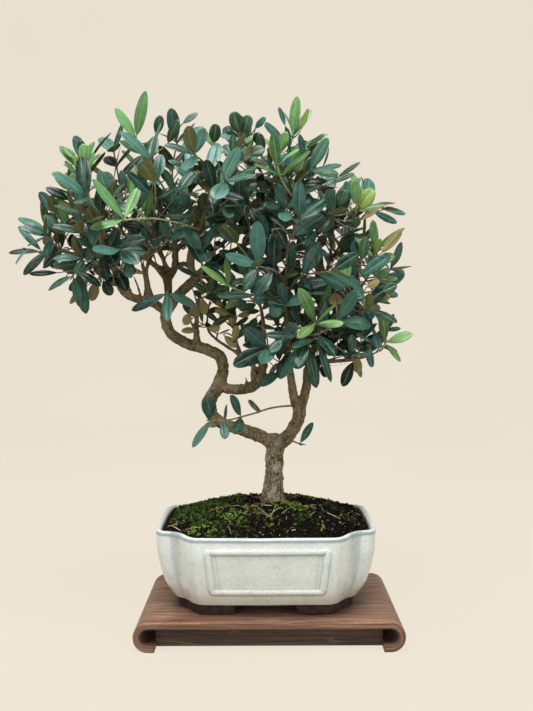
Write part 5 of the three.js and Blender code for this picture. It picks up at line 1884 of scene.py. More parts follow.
SCARS = (
    Scar("trunk", 0.62, 20, 3.4), Scar("trunk", 0.83, -50, 3.0), Scar("left_limb", 0.2, 200, 2.6),
    Scar("left_limb", 0.42, -20, 3.0), Scar("left_limb", 0.56, 30, 3.2), Scar("left_limb", 0.74, -60, 2.6),
    Scar("right_limb", 0.5, -30, 2.6), Scar("low_branch", 0.3, 0, 2.4), Scar("left_limb", 0.33, 80, 2.2),
    Scar("low_branch", 0.38, -60, 3.0), Scar("low_branch", 0.44, 30, 2.6), Scar("low_branch", 0.2, 150, 2.8),
)

# Bare snags and dead twigs: x, y, z and radius.
SNAGS = (
    ((-6, -9, 252, 4), (-3.5, -12, 260, 2), (-1, -13.5, 266, 0.7)),
    ((-10, -7, 242, 4), (-2, -13, 244, 1.6), (3, -16, 247, 0.7)),
    ((-7, -8, 258, 3.4), (-12, -11, 264, 1.5), (-14, -13, 269, 0.7)),
    ((58, -10, 261, 1.8), (70, -24, 266, 1), (84, -31, 268, 0.7), (96, -33, 265, 0.4)),
    ((70, -24, 266, 1), (79, -30, 272, 0.6), (88, -31, 275, 0.4)),
    ((48, -4, 259, 1.8), (58, -20, 257, 1), (72, -28, 259, 0.6), (80, -30, 263, 0.4)),
    ((-68, -6, 314, 1.6), (-73, -14, 330, 1), (-75, -18, 344, 0.6)),
    ((-70, 3, 288, 3), (-75, -2, 297, 1.6), (-78, -5, 304, 1)),
    ((-33, 10, 292, 1.8), (-43, 0, 301, 1.1), (-52, -6, 313, 0.6)),
    ((-34, 18, 312, 1.6), (-28, 6, 326, 1), (-24, -4, 340, 0.6)),
    ((-119, -4, 320, 2.6), (-120, -12, 340, 1.7), (-125, -17, 368, 0.9)),
    ((-113, -4, 318, 2.4), (-117, -14, 336, 1.5), (-122, -20, 365, 0.8)),
    ((-104, 4, 344, 2.6), (-111, -8, 354, 1.9), (-127, -18, 367, 1.1)),
    ((-100, 8, 352, 2.6), (-106, -6, 366, 1.9), (-119, -16, 386, 1.2)),
    ((-94, 10, 352, 3), (-92, -4, 368, 2.2), (-95, -12, 394, 1.3)),
    ((-76, 2, 348, 3), (-78, -8, 364, 2), (-70, -18, 388, 1.2)),
    ((-133, -6, 324, 2.4), (-137, -12, 336, 1.5), (-139, -14, 348, 0.9)),
    ((-125, -4, 322, 2), (-127, -12, 334, 1.3), (-131, -15, 345, 0.8)),
    ((-12, -6, 240, 5), (-15, -11, 249, 2.8), (-16, -13, 256, 1)),
    ((-20, -3, 234, 4), (-21, -11, 240, 2.2), (-22, -14, 246, 0.9)),
)

# Thin roots that run out over the soil from the foot of the trunk: x, y, z and radius.
SURFACE_ROOTS = (
    ((6, -8, 116, 4.5), (14, -14, 122.2, 2.2), (24, -20, 121, 1.7), (34, -24, 118.5, 1.3), (42, -26, 115, 0.8)),
    ((2, -7, 116, 4.5), (-7, -14, 121.6, 2.4), (-17, -19, 119.6, 1.9), (-26, -24, 117, 1.3), (-33, -30, 113, 0.8)),
    ((0, -8, 116, 3.5), (-4, -17, 120.6, 1.6), (-12, -26, 117.6, 1.2), (-18, -33, 114, 0.8)),
    ((2, 4, 114, 5), (-10, 9, 121.6, 2.8), (-24, 15, 118.6, 2), (-36, 19, 114, 1.2)),
    ((8, 5, 114, 5), (19, 14, 121.2, 2.8), (30, 24, 117, 2), (38, 32, 112, 1.2)),
)


@dataclass
class Wood:
    """The trunk and all its limbs as one rough-barked piece."""

    finishes: Finishes
    slimming: float = 0.97
    voxel: float = 1.1
    eased: float = 0.5
    easings: int = 4
    trunk_top: float = 205.0
    root_top: float = 130.0
    foot: tuple[float, float] = (4.2, 0.0)

    def dress(self) -> None:
        """Joins the limbs, melts their joints together and raises the bark."""
        rough = self._joined()
        mesh = self._melted(rough)
        self._raise_bark(mesh)
        settle(placed("trunk_and_limbs", mesh), [self.finishes.bark], "bark", "tree_wood")

    def _joined(self) -> bpy.types.Object:
        """Makes every limb and root as a round stem in one object.

        Returns:
            The object, which is only a step on the way.
        """
        skin = Skin()
        lines = [*LIMBS.values(), *(np.array(line, float) for line in (*SURFACE_ROOTS, *SNAGS))]
        for number, line in enumerate(lines):
            row = line.copy()
            row[:, 3] *= self.slimming
            points, faces = tube(row, 28 if row[1][3] > 5 else 16, 2.0, 0.045 if number else 0.06)
            skin.add(points, faces)
        mesh = bpy.data.meshes.new("limbs_joined")
        mesh.from_pydata(np.array(skin.points).tolist(), [], skin.faces)
        return placed("limbs_joined", mesh)

    def _melted(self, rough: bpy.types.Object) -> bpy.types.Mesh:
        """Turns the crossing stems into one even skin and removes the first object.

        Args:
            rough: the object with the crossing stems.

        Returns:
            The even skin.
        """
        remesh = rough.modifiers.new("melt", "REMESH")
        remesh.mode = "VOXEL"
        remesh.voxel_size = self.voxel
        smooth = rough.modifiers.new("ease", "SMOOTH")
        smooth.factor = self.eased
        smooth.iterations = self.easings
        seen = rough.evaluated_get(bpy.context.evaluated_depsgraph_get())
        mesh = bpy.data.meshes.new_from_object(seen)
        bpy.data.objects.remove(rough)
        return mesh

    def _raise_bark(self, mesh: bpy.types.Mesh) -> None:
        """Roughens the skin, adds scars and turns it into metres in the row frame.

        Args:
            mesh: the even skin, in millimetres.
        """
        count = len(mesh.vertices)
        points, normals = np.empty((count, 3)), np.empty((count, 3))
        mesh.vertices.foreach_get("co", points.ravel())
        mesh.vertex_normals.foreach_get("vector", normals.ravel())
        rows = np.vstack([rows_along(line, 60) for line in LIMBS.values()])
        tree = KDTree(len(rows))
        for i, row in enumerate(rows.tolist()):
            tree.insert(row[:3], i)
        tree.balance()
        radius = np.array([rows[tree.find(p)[1], 3] for p in points.tolist()])
        size = np.clip(radius / 9, 0.05, 1.2)
        rise = np.empty(count)
        for i, (x, y, z) in enumerate(points.tolist()):
            lumps = noise.fractal((x * 0.11, y * 0.11, z * 0.075), 0.6, 2.1, 3)
            plates = noise.fractal((x * 0.42 + 9, y * 0.42, z * 0.2), 0.7, 2.0, 3)
            knots = max(0.0, noise.noise((x * 0.24, y * 0.24 + 5, z * 0.24)) - 0.28)
            rise[i] = size[i] * (1.15 * lumps + 0.5 * plates + 2.6 * knots)
        hollow = np.zeros(count)
        for scar in SCARS:
            self._scar(scar, points, rise, hollow)
        low = np.clip((146 - points[:, 2]) / 34, 0, 1) * (radius > 7)
        rise += low * np.array([noise.noise((x * 0.3, y * 0.3, z * 0.06)) for x, y, z in points.tolist()]) * 1.5
        moved = points + normals * rise[:, None]
        mesh.vertices.foreach_set("co", to_row(moved).ravel())
        # How far the wood faces down, which its finish paints as a reddish shade.
        keep(mesh, "under", np.clip(-normals[:, 2], 0, 1))
        keep(mesh, "hollow", hollow)
        keep(mesh, "trunk", np.clip((self.trunk_top - points[:, 2]) / 50, 0, 1))
        away = np.linalg.norm(points[:, :2] - self.foot, axis=1)
        keep(mesh, "root", np.clip((away - 10.5) / 4, 0, 1) * np.clip((self.root_top - points[:, 2]) / 4, 0, 1))
        mesh.shade_smooth()
        mesh.update()

    def _scar(self, scar: Scar, points: Array, rise: Array, hollow: Array) -> None:
        """Raises one scar's collar and sinks its middle.

        Args:
            scar: what it is and where.
            points: the skin's points.
            rise: how far each is raised, which is changed here.
            hollow: how deep each lies in a scar, which is changed too.
        """
        line = LIMBS[scar.limb]
        at = along(line, scar.share)
        forward = heading(line, scar.share)
        front = np.array([math.sin(math.radians(scar.turn)), -math.cos(math.radians(scar.turn)), 0.0])
        front = unit(front - forward * np.dot(front, forward))
        distance = np.linalg.norm(points - (at[:3] + front * at[3]), axis=1) / scar.radius
        rise += 1.1 * np.exp(-(((distance - 1.0) / 0.38) ** 2)) - 1.0 * np.exp(-((distance / 0.5) ** 2))
        np.maximum(hollow, np.exp(-((distance / 0.5) ** 2)), out=hollow)


# ---------------------------------------------------------------- pot
@dataclass(frozen=True)
class PotPlan:
    """The pot's plan and curve, in millimetres about the stand's middle.

    The quarter plans run from the middle of the right side round the indented corner to the middle of the back.
    """

    base_z: float = 35.8
    height: float = 68.0
    centre_x: float = -2.9
    centre_y: float = 8.0
    rim: Pairs = (
        (105.5, 0), (105, 30), (104, 45), (99, 51.5), (86, 54.5), (79, 61), (74, 70), (66, 76.5), (0, 78))
    base: Pairs = (
        (89.5, 0), (89, 18), (86.5, 31), (82.5, 39), (75, 44), (71, 50), (66.5, 56), (60, 60.5), (0, 61.5))
    curve: Pairs = ((0, 0), (0.03, 0), (0.3, 0.04), (0.56, 0.23), (0.8, 0.52), (1, 1))
    around: int = 640
    softness: float = 1.9

    @property
    def rim_z(self) -> float:
        """The height of the rim."""
        return self.base_z + self.height

    def _whole(self, quarter: Pairs) -> Array:
        """Turns a quarter plan into a whole one.

        Args:
            quarter: the plan from the right side to the back.

        Returns:
            Rows of x and y all the way round.
        """
        right = np.array(quarter, float)
        left = right[-2::-1] * [-1, 1]
        front = np.vstack([right, left])[-2:0:-1] * [1, -1]
        return np.vstack([right, left, front])

    def ring(self, depth: float, inset: float = 0.0) -> Array:
        """Gives the plan at a share of the depth below the rim.

        Args:
            depth: 0 at the rim and 1 at the base.
            inset: how far it is drawn in, square to the wall.

        Returns:
            Rows of x and y, as many as `around`.
        """
        drawn, above, below = (np.interp(depth + d, *np.array(self.curve).T) for d in (0.0, -0.06, 0.06))
        drawn = 0.5 * drawn + 0.25 * (above + below)
        rim, base = self._whole(self.rim), self._whole(self.base)
        reach = reached(np.vstack([rim, rim[:1]]))
        at = np.arange(self.around) * reach[-1] / self.around
        ring = resampled(rim * (1 - drawn) + base * drawn, at, reach)
        step = reach[-1] / self.around
        ring = self._eased(ring, self.softness / step)
        if inset:
            ring = self._eased(ring - outward(ring) * inset, (0.6 + 0.12 * inset) / step)
        return ring + [self.centre_x, self.centre_y]

    def corners(self, inset: float) -> Array:
        """Gives the corner points of the base's quarter plan, drawn in by `inset` millimetres.

        Args:
            inset: how far they are drawn in.

        Returns:
            Rows of x and y.
        """
        rim = np.array(self.rim, float)
        one = np.column_stack([rim[1:-1, 1] - rim[:-2, 1], rim[:-2, 0] - rim[1:-1, 0]])
        two = np.column_stack([rim[2:, 1] - rim[1:-1, 1], rim[1:-1, 0] - rim[2:, 0]])
        one, two = (way / np.linalg.norm(way, axis=1)[:, None] for way in (one, two))
        out = (one + two) / np.maximum(1 + (one * two).sum(axis=1), 0.6)[:, None]
        return np.array(self.base[1:-1], float) - out * inset

    def _eased(self, ring: Array, width: float) -> Array:
        """Rounds a ring's corners over a few of its points."""
        turn = np.fft.fftfreq(len(ring))[:, None]
        return np.fft.ifft(np.fft.fft(ring, axis=0) * np.exp(-2 * (math.pi * turn * width) ** 2), axis=0).real

    def hollow(self, ring: Array) -> Array:
        """Gives how far each point of a ring lies in a crease (above 0) or on a corner (below 0).

        Args:
            ring: rows of x and y.

        Returns:
            A number for each row.
        """
        normal = outward(ring)
        bend = np.roll(ring, -5, axis=0) + np.roll(ring, 5, axis=0) - 2 * ring
        return self._eased((bend * normal).sum(axis=1)[:, None], 3)[:, 0]


PLAN = PotPlan()


@dataclass(frozen=True)
class PanelFrame:
    """The soft bead round the sunken panel on the front and back of the pot, in millimetres."""

    half_length: float = 52.4
    taper: float = 0.11
    shift: float = 1.6
    low: float = 16.6
    high: float = 55.5
    half_width: float = 3.0
    proud: float = 1.7
    sunk: float = 0.8

    def relief(self, x: Array, height: float) -> tuple[Array, Array, Array, Array]:
        """Works out the relief along one level of the wall.

        Args:
            x: places along the wall, from the pot's middle.
            height: above the pot's base.

        Returns:
            How far the wall stands out, how much glaze gathers there together with painted blue-grey shade, where
            brown shade is painted under the beads, and where pinholes gather: on the bead's crest, and crowded along
            the uprights' outer edge as a painted shade.
        """
        middle, half = (self.low + self.high) / 2, (self.high - self.low) / 2
        dx = np.abs(x - self.shift) - self.half_length - self.taper * (height - middle)
        dz = abs(height - middle) - half
        corner = 1.2
        outside = np.hypot(np.maximum(dx + corner, 0), np.maximum(dz + corner, 0)) - corner
        distance = np.where((dx < -corner) & (dz < -corner), np.maximum(dx, dz), outside)
        crest = np.exp(-np.abs(distance / self.half_width) ** 2.6)
        inside = 1 / (1 + np.exp((distance + 1.6) / 0.25))
        # The ring at the bead's foot, where the glaze gathers and blue-grey shade is painted.
        foot = np.exp(-(((np.abs(distance) - self.half_width * 1.15) / 0.75) ** 2))
        # The lower edge of the top and bottom beads, where brown shade is painted under them.
        edge = self.half_width * np.where(height > middle, -0.88, 0.88)
        level = dz > -3
        thin = np.exp(-(((distance - edge) / 0.8) ** 2)) * level
        # Along the uprights' outer edge the pinholes crowd into a dark blotchy line, a painted shade; on the level
        # beads they are the glaze's own pinholes.
        outer = np.exp(-(((distance - 1.1) / 0.8) ** 2)) * ~level
        bead = np.exp(-((distance / 0.9) ** 2)) * level + 0.8 * outer
        # Blue-grey shade painted along the upright sides of the frame, strongest at their outer edge.
        upright_shade = 0.35 * np.exp(-(np.abs(distance / 2.2) ** 3)) * ~level + 0.5 * outer
        return self.proud * crest - self.sunk * inside, np.where(level, 0.4, 0.7) * foot + upright_shade, thin, bead


# The feet's levels from below: height, how far their ends lean in, and how far their sides are drawn in.
FOOT_LEVELS = ((27.8, 3.0, 0.9), (28.5, 2.6, 0.15), (33.5, 0.6, 0.0), (37.2, -0.7, 0.0))

# The wall's levels: depth below the rim, and how far it is drawn in square to itself.
UNDERSIDE = ((66.0, 1.6), (65.7, 0.7), (65.1, 0.15))
LIP = ((2.5, -0.25), (1.7, -0.3), (1.1, -0.05), (0.6, 0.45), (0.25, 1.1), (0.05, 1.8), (0.0, 2.5),
       (0.15, 3.3), (0.6, 4.1), (1.3, 4.7), (2.3, 5.2), (4.0, 5.7), (8.0, 6.4), (14.0, 7.0))


@dataclass
class Pot:
    """The glazed pot with its bare clay feet and drain holes."""

    finishes: Finishes
    frame: PanelFrame = PanelFrame()
    hole_radius: float = 8.0
    hole_x: float = 42.0
    hole_sides: int = 36
    foot_inset: float = 3.0
    foot_thickness: float = 16.0
    sharpest: float = math.radians(42)

    def dress(self) -> None:
        """Makes the body and its four feet as one piece."""
        skin = Skin()
        self._body(skin)
        for side_x in (1, -1):
            for side_y in (1, -1):
                self._foot(skin, side_x, side_y)
        made = skin.piece("glazed_pot", [self.finishes.glaze, self.finishes.clay], "pot_glaze", "pot_with_feet")
        made.data.set_sharp_from_angle(angle=self.sharpest)

    def _body(self, skin: Skin) -> None:
        """Makes the wall from the underside up, over the lip and down to the floor inside.

        Args:
            skin: what it is added to.
        """
        wall = [(64.6 - 61.2 * i / 66, 0.0) for i in range(67)]
        inner = [(14.0 + 46.0 * i / 12, 7.0) for i in range(1, 13)]
        levels = [*UNDERSIDE, *wall, *LIP, *inner]
        wall_from, wall_to = len(UNDERSIDE), len(UNDERSIDE) + len(wall)
        rounded_to, outside_to = wall_to + 6, wall_to + 10
        rows, pool, height, thin, bead = [], [], [], [], []
        for number, (depth, inset) in enumerate(levels):
            ring = PLAN.ring(depth / PLAN.height, max(inset, 0.0))
            normal = outward(ring)
            outer = number < outside_to
            lift, foot, edge, crest = self.frame.relief(ring[:, 0] - PLAN.centre_x, PLAN.height - depth)
            facing = np.clip((np.abs(normal[:, 1]) - 0.9) / 0.08, 0, 1)
            facing = facing * (np.abs(ring[:, 0] - PLAN.centre_x) < 62)
            lift = lift * facing if wall_from <= number < wall_to else np.zeros(len(ring))
            places = [(x * 0.02, y * 0.02, depth * 0.03) for x, y in ring.tolist()]
            wander = np.array([noise.fractal(place, 0.6, 2.0, 2) for place in places])
            ring = ring + normal * (lift - min(inset, 0.0) + 0.45 * wander * outer)[:, None]
            drop = np.array([noise.noise((x * 0.03, y * 0.03, 3.0)) for x, y in ring.tolist()]) * 0.5
            z = PLAN.rim_z - depth + drop * (1 - min(depth / 12, 1))
            rows.append(np.column_stack([ring, np.broadcast_to(z, (len(ring),))]))
            # Painted shade: blue-grey in the creases, under the lip and over the whole inside of the pot, added to
            # the glaze gathered at the beads' feet.
            crease = np.clip(PLAN.hollow(ring) * 0.9 - 0.42, 0, 0.5)
            shade_under_lip = math.exp(-(((depth - 2.6) / 1.9) ** 2)) if number < rounded_to else 0.5
            pool.append(np.clip(crease + foot * facing + shade_under_lip, 0, 1))
            height.append(np.full(len(ring), 1 - depth / PLAN.height))
            # The brown shade painted under the beads.
            thin.append(np.clip(edge * facing * 0.9, 0, 1))
            bead.append(crest * facing)
        count = PLAN.around
        start = len(skin.points)
        marks = {"pool": pool, "height": height, "thin": thin, "bead": bead}
        skin.add(np.vstack(rows), banded(len(levels) - 1, count), 0,
                 **{name: np.concatenate(values) for name, values in marks.items()})
        last = start + (len(levels) - 1) * count
        self._floor(skin, list(range(start, start + count)), list(range(last, last + count)))

    def _floor(self, skin: Skin, under_ids: list[int], inside_ids: list[int]) -> None:
        """Closes the pot's floor from below and above, with the drain holes through it.

        Args:
            skin: what it is added to.
            under_ids: the numbers of the points round the underside.
            inside_ids: those round the floor inside.
        """
        count = self.hole_sides
        turns = np.arange(count) * 2 * math.pi / count
        holes = []
        for x in (PLAN.centre_x - self.hole_x, PLAN.centre_x + self.hole_x):
            circle = np.column_stack([np.cos(turns), np.sin(turns)]) * self.hole_radius + [x, PLAN.centre_y]
            pair = []
            for z in (skin.points[under_ids[0]][2], skin.points[inside_ids[0]][2]):
                pair.append(list(range(len(skin.points), len(skin.points) + count)))
                skin.add(np.column_stack([circle, np.full(count, z)]), [])
            holes.append(pair)
        for level, (ids, flip) in enumerate(((under_ids, True), (inside_ids, False))):
            loops = [ids] + [pair[level] for pair in holes]
            flat = [i for loop in loops for i in loop]
            shapes = [[Vector((*skin.points[i][:2], 0.0)) for i in loop] for loop in loops]
            for a, b, c in tessellate_polygon(shapes):
                face = [flat[a], flat[b], flat[c]]
                p, q, r = (skin.points[i] for i in face)
                upward = (q[0] - p[0]) * (r[1] - p[1]) - (q[1] - p[1]) * (r[0] - p[0]) > 0
                skin.faces.append(tuple(face if upward != flip else reversed(face)))
                skin.slots.append(1)
        for low, high in holes:
            for k in range(count):
                n = (k + 1) % count
                skin.faces.append((low[k], high[k], high[n], low[n]))
                skin.slots.append(1)

    def _foot(self, skin: Skin, side_x: int, side_y: int) -> None:
        """Adds one corner foot, an angle that follows the base, with its ends leaning in.

        Args:
            skin: what it is added to.
            side_x: 1 for the right, -1 for the left.
            side_y: 1 for the back, -1 for the front.
        """
        outer, thick = PLAN.corners(self.foot_inset), self.foot_thickness
        inner = PLAN.corners(self.foot_inset + thick)[0] + [-6.0, 14.0]
        side, front = outer[0][0], outer[-1][1]
        levels = []
        for z, end, draw in FOOT_LEVELS:
            edge = PLAN.corners(self.foot_inset + draw)
            ring = [(side + 0.4 - draw, 14 + end), *edge.tolist(), (28 + end, front + 0.3 - draw),
                    (28 + end, front - thick + draw), tuple(inner), (side - thick + draw, 14 + end)]
            levels.append([(PLAN.centre_x + side_x * x, PLAN.centre_y + side_y * y, z) for x, y in ring])
        faces = capped(len(levels) - 1, len(levels[0]))
        if side_x * side_y < 0:
            faces = [tuple(reversed(face)) for face in faces]
        skin.add(np.array([p for level in levels for p in level]), faces, 1)


@dataclass
class DrainScreens:
    """The plastic meshes over the drain holes, whose solids stay as they are."""

    finishes: Finishes

    def dress(self) -> None:
        """Gives both meshes their plastic."""
        for name in ("drain_screen_left", "drain_screen_right"):
            mesh = frame["nodes"][name].data
            mesh.materials.clear()
            mesh.materials.append(self.finishes.plastic)
            LOG.info("%s: plastic given", name)


# ---------------------------------------------------------------- soil, moss and what lies on it
@dataclass(frozen=True)
class Patch:
    """A patch of moss.

    Attributes:
        x: its middle, in millimetres to the right of the stand's middle.
        y: its middle, in millimetres behind the stand's middle.
        radius: about how far it spreads.
        strength: how thick it is, from 0 to 1.
        bright: whether it is the yellow-green kind.
    """

    x: float
    y: float
    radius: float
    strength: float = 1.0
    bright: bool = False


PATCHES = (
    Patch(-82, -6, 20), Patch(-70, 16, 18), Patch(-62, -30, 17, 0.9), Patch(-44, 2, 15, 0.8),
    Patch(-86, 22, 12), Patch(-22, -40, 13, 0.75), Patch(30, -40, 10, 0.6), Patch(62, 6, 9, 0.5),
    Patch(76, -18, 9, 0.6), Patch(-40, 38, 20, 0.9), Patch(18, 44, 18, 0.8), Patch(60, 42, 15, 0.7),
    Patch(-8, 28, 13, 0.6), Patch(-46, -54, 9, 0.8), Patch(-68, -46, 9, 1.0, True),
    Patch(-57, -53, 7, 1.0, True), Patch(-34, -38, 8, 0.9, True), Patch(-44, -22, 8, 0.8, True),
    Patch(9, -17, 8, 1.0, True), Patch(23, -19, 8, 1.0, True), Patch(36, -20, 6, 0.9, True),
    Patch(-20, -24, 6, 0.7, True), Patch(4, -46, 5, 0.7, True), Patch(48, -50, 5, 0.7, True),
    Patch(-30, 30, 10, 0.8, True), Patch(44, 34, 8, 0.7, True),
)


SPRIG_TURNS = (0.0, 2.094, 4.189)  # a third of a turn apart

# Blades of grass: x and y of the foot, how far each leans along x and y, and how tall it is.
GRASS = (
    (1, -34, -11, -9, 13), (2, -35, 5, -10, 16), (1.5, -33, -6, -14, 9), (-3, -38, 13, -3, 12),
    (12, -30, 8, -6, 8), (-24, -30, 5, -8, 7), (6, -36, -14, -2, 7), (38, -32, 6, -6, 7),
)


@dataclass
class Soil:
    """The mounded soil with its crumbs, chips, moss, grass and fallen twigs."""

    finishes: Finishes
    around: int = 380
    rings: int = 84
    edge_drop: float = 2.4
    mound: float = 22.3
    roundness: float = 1.6
    trunk_x: float = 4.0
    foot_share: float = 0.14
    edge_share: float = 0.985
    sprigs_tried: int = 9000
    crumbs_tried: int = 3300
    bits_tried: int = 150

    def __post_init__(self) -> None:
        """Works out the soil's edge once."""
        pick = np.arange(self.around) * PLAN.around / self.around
        self.edge = resampled(PLAN.ring(0.05, 6.1), pick, np.arange(PLAN.around + 1))
        self.turns = np.arctan2(self.edge[:, 1], self.edge[:, 0] - self.trunk_x)

    def dress(self) -> None:
        """Makes every piece of the soil."""
        self._ground()
        self._moss()
        self._crumbs()
        self._litter()

    def _share(self, x: float, y: float) -> float:
        """Gives how far a place lies from the trunk (0) to the soil's edge (1).

        Args:
            x: to the right of the stand's middle.
            y: behind it.

        Returns:
            The share.
        """
        turn = math.atan2(y, x - self.trunk_x)
        order = np.argsort(self.turns)
        reach = np.interp(turn, self.turns[order], np.linalg.norm(self.edge - [self.trunk_x, 0.0], axis=1)[order],
                          period=2 * math.pi)
        return math.hypot(x - self.trunk_x, y) / float(reach)

    def moss_at(self, x: float, y: float, bright: bool | None = None) -> float:
        """Gives how thick moss is at a place, of one kind or of both.

        Args:
            x: to the right of the stand's middle.
            y: behind it.
            bright: the kind, or None for both.

        Returns:
            From 0 to 1.
        """
        total = 0.0
        for patch in PATCHES:
            if bright is None or patch.bright == bright:
                away = ((x - patch.x) ** 2 + (y - patch.y) ** 2) / patch.radius**2
                total += patch.strength * math.exp(-(away**1.3))
        ragged = noise.fractal((x * 0.16, y * 0.16, 2.0), 0.7, 2.0, 3)
        return held(total * 1.1 + 0.7 * ragged * min(total * 2, 1.0))

    def height(self, x: float, y: float, share: float) -> float:
        """Gives the height of the ground at a place.

        Args:
            x: to the right of the stand's middle.
            y: behind it.
            share: how far it lies from the trunk to the soil's edge.

        Returns:
            The height above the table, in millimetres.
        """
        z = PLAN.rim_z - self.edge_drop + self.mound * (1 - min(share, 1.0) ** self.roundness)
        calm = min(1.0, 6 * (1 - share) + 0.25)
        z += calm * 1.7 * noise.fractal((x * 0.055, y * 0.055, 0.0), 0.6, 2.0, 2)
        z += 1.0 * noise.fractal((x * 0.3, y * 0.3, 4.0), 0.7, 2.1, 3)
        z += 0.8 * abs(noise.noise((x * 0.75, y * 0.75, 7.0)))
        return z + 1.4 * self.moss_at(x, y) * calm

    def _ground(self) -> None:
        """Makes the soil's own surface, closed below."""
        skin = Skin()
        points, moss = [], []
        middle = np.array([self.trunk_x, 0.0])
        for share in 0.10 + 0.90 * (np.arange(self.rings) / (self.rings - 1)) ** 0.85:
            for x, y in middle + (self.edge - middle) * share:
                points.append((x, y, self.height(x, y, float(share))))
                moss.append(self.moss_at(x, y))
        middle = np.array([PLAN.centre_x, PLAN.centre_y])
        for z, draw in ((92.0, 0.995), (80.0, 0.93)):
            points.extend((x, y, z) for x, y in middle + (self.edge - middle) * draw)
            moss.extend([0.0] * self.around)
        count = self.around
        faces = turned_over(banded(self.rings + 1, count))
        last = (self.rings + 1) * count
        faces.append(tuple(range(last + count - 1, last - 1, -1)))
        faces.append(tuple(range(count)))
        skin.add(np.array(points), faces, 0, moss=np.array(moss))
        skin.piece("soil_ground", [self.finishes.earth], "soil", "soil")

    def _places(self, seed: int, count: int) -> list[tuple[float, float, float, Dice]]:
        """Scatters places over the soil.

        Args:
            seed: starts the dice.
            count: how many places.

        Returns:
            For each place its x, y, share and the dice.
        """
        dice = Dice(seed)
        found = []
        while len(found) < count:
            x, y = self.trunk_x + dice.spread(100), 8 + dice.spread(78)
            share = self._share(x, y)
            if self.foot_share < share < self.edge_share:
                found.append((x, y, share, dice))
        return found

    def _moss(self) -> None:
        """Plants the moss as tufts of small pointed sprigs."""
        for bright, name, seed in ((False, "moss_dark", 41), (True, "moss_bright", 43)):
            skin = Skin()
            for x, y, share, dice in self._places(seed, self.sprigs_tried):
                thick = self.moss_at(x, y, bright)
                other = self.moss_at(x, y, not bright)
                if dice.roll() > thick * (1.25 if bright else 1.0 - 0.75 * other):
                    continue
                clump = noise.noise((x * 0.25, y * 0.25, 11.0 + bright))
                if clump < dice.spread(0.12) - 0.09:
                    continue
                z = self.height(x, y, share) - 0.5 + 2.0 * max(clump, 0.0)
                tone = held(0.3 + 1.7 * clump + dice.spread(0.4))
                for _ in range(3):
                    tall = (1.3 + 1.7 * dice.roll()) * (0.7 + 0.4 * thick)
                    lean = np.array([dice.spread(0.7), dice.spread(0.7), 1.0])
                    base = np.array([x + dice.spread(0.8), y + dice.spread(0.8), z])
                    self._sprig(skin, base, unit(lean), tall, 0.42 + 0.32 * dice.roll(), tone)
            finish = self.finishes.bright_moss if bright else self.finishes.moss
            skin.piece(name, [finish], "soil")

    def _sprig(self, skin: Skin, base: Array, way: Array, tall: float, wide: float, tone: float) -> None:
        """Adds one three-sided sprig with a fat middle.

        Args:
            skin: what it is added to.
            base: its foot.
            way: the unit vector in which it grows.
            tall: its height.
            wide: its greatest radius.
            tone: how light it is, from 0 to 1.
        """
        side = unit(np.cross(way, [0.4, 0.9, 0.1]))
        other = np.cross(way, side)
        spokes = [side * math.cos(t) + other * math.sin(t) for t in SPRIG_TURNS]
        points = [base + spoke * wide * 0.5 for spoke in spokes]
        points += [base + way * tall * 0.5 + spoke * wide for spoke in spokes]
        points.append(base + way * tall)
        faces = [(k, (k + 1) % 3, 3 + (k + 1) % 3, 3 + k) for k in range(3)]
        faces += [(3 + k, 3 + (k + 1) % 3, 6) for k in range(3)] + [(2, 1, 0)]
        skin.add(np.array(points), faces, 0, along=np.array([0.0] * 3 + [0.6] * 3 + [1.0]), tone=tone)

    def _crumbs(self) -> None:
        """Scatters crumbs of earth and chips of bark, fewer where moss grows."""
        skin = Skin()
        ball = bmesh.new()
        bmesh.ops.create_icosphere(ball, subdivisions=1, radius=1.0)
        shape = np.array([v.co for v in ball.verts])
        faces = [tuple(v.index for v in f.verts) for f in ball.faces]
        ball.free()
        for x, y, share, dice in self._places(47, self.crumbs_tried):
            if dice.roll() < 0.7 * self.moss_at(x, y):
                continue
            chip = dice.roll() < 0.2
            pale = dice.roll() < 0.09
            size = 0.45 + 0.35 * dice.roll() if pale else 0.5 + 1.5 * dice.roll() ** 2.2
            scale = np.array([size * (1.9 if chip else 1.1), size, size * (0.4 if chip else 0.8)])
            turn = Euler((dice.spread(0.5), dice.spread(0.5), dice.spread(3.1))).to_matrix()
            jitter = np.array([1 + dice.spread(0.22) for _ in range(len(shape))])[:, None]
            body = (shape * jitter * scale) @ np.array(turn).T
            z = self.height(x, y, share) + size * (0.6 if pale else 0.22)
            skin.add(body + [x, y, z], faces, 2 if pale else 1 if chip else 0, tone=0.5)
        skin.piece("soil_crumbs", [self.finishes.earth, self.finishes.chip, self.finishes.rootlet], "soil")

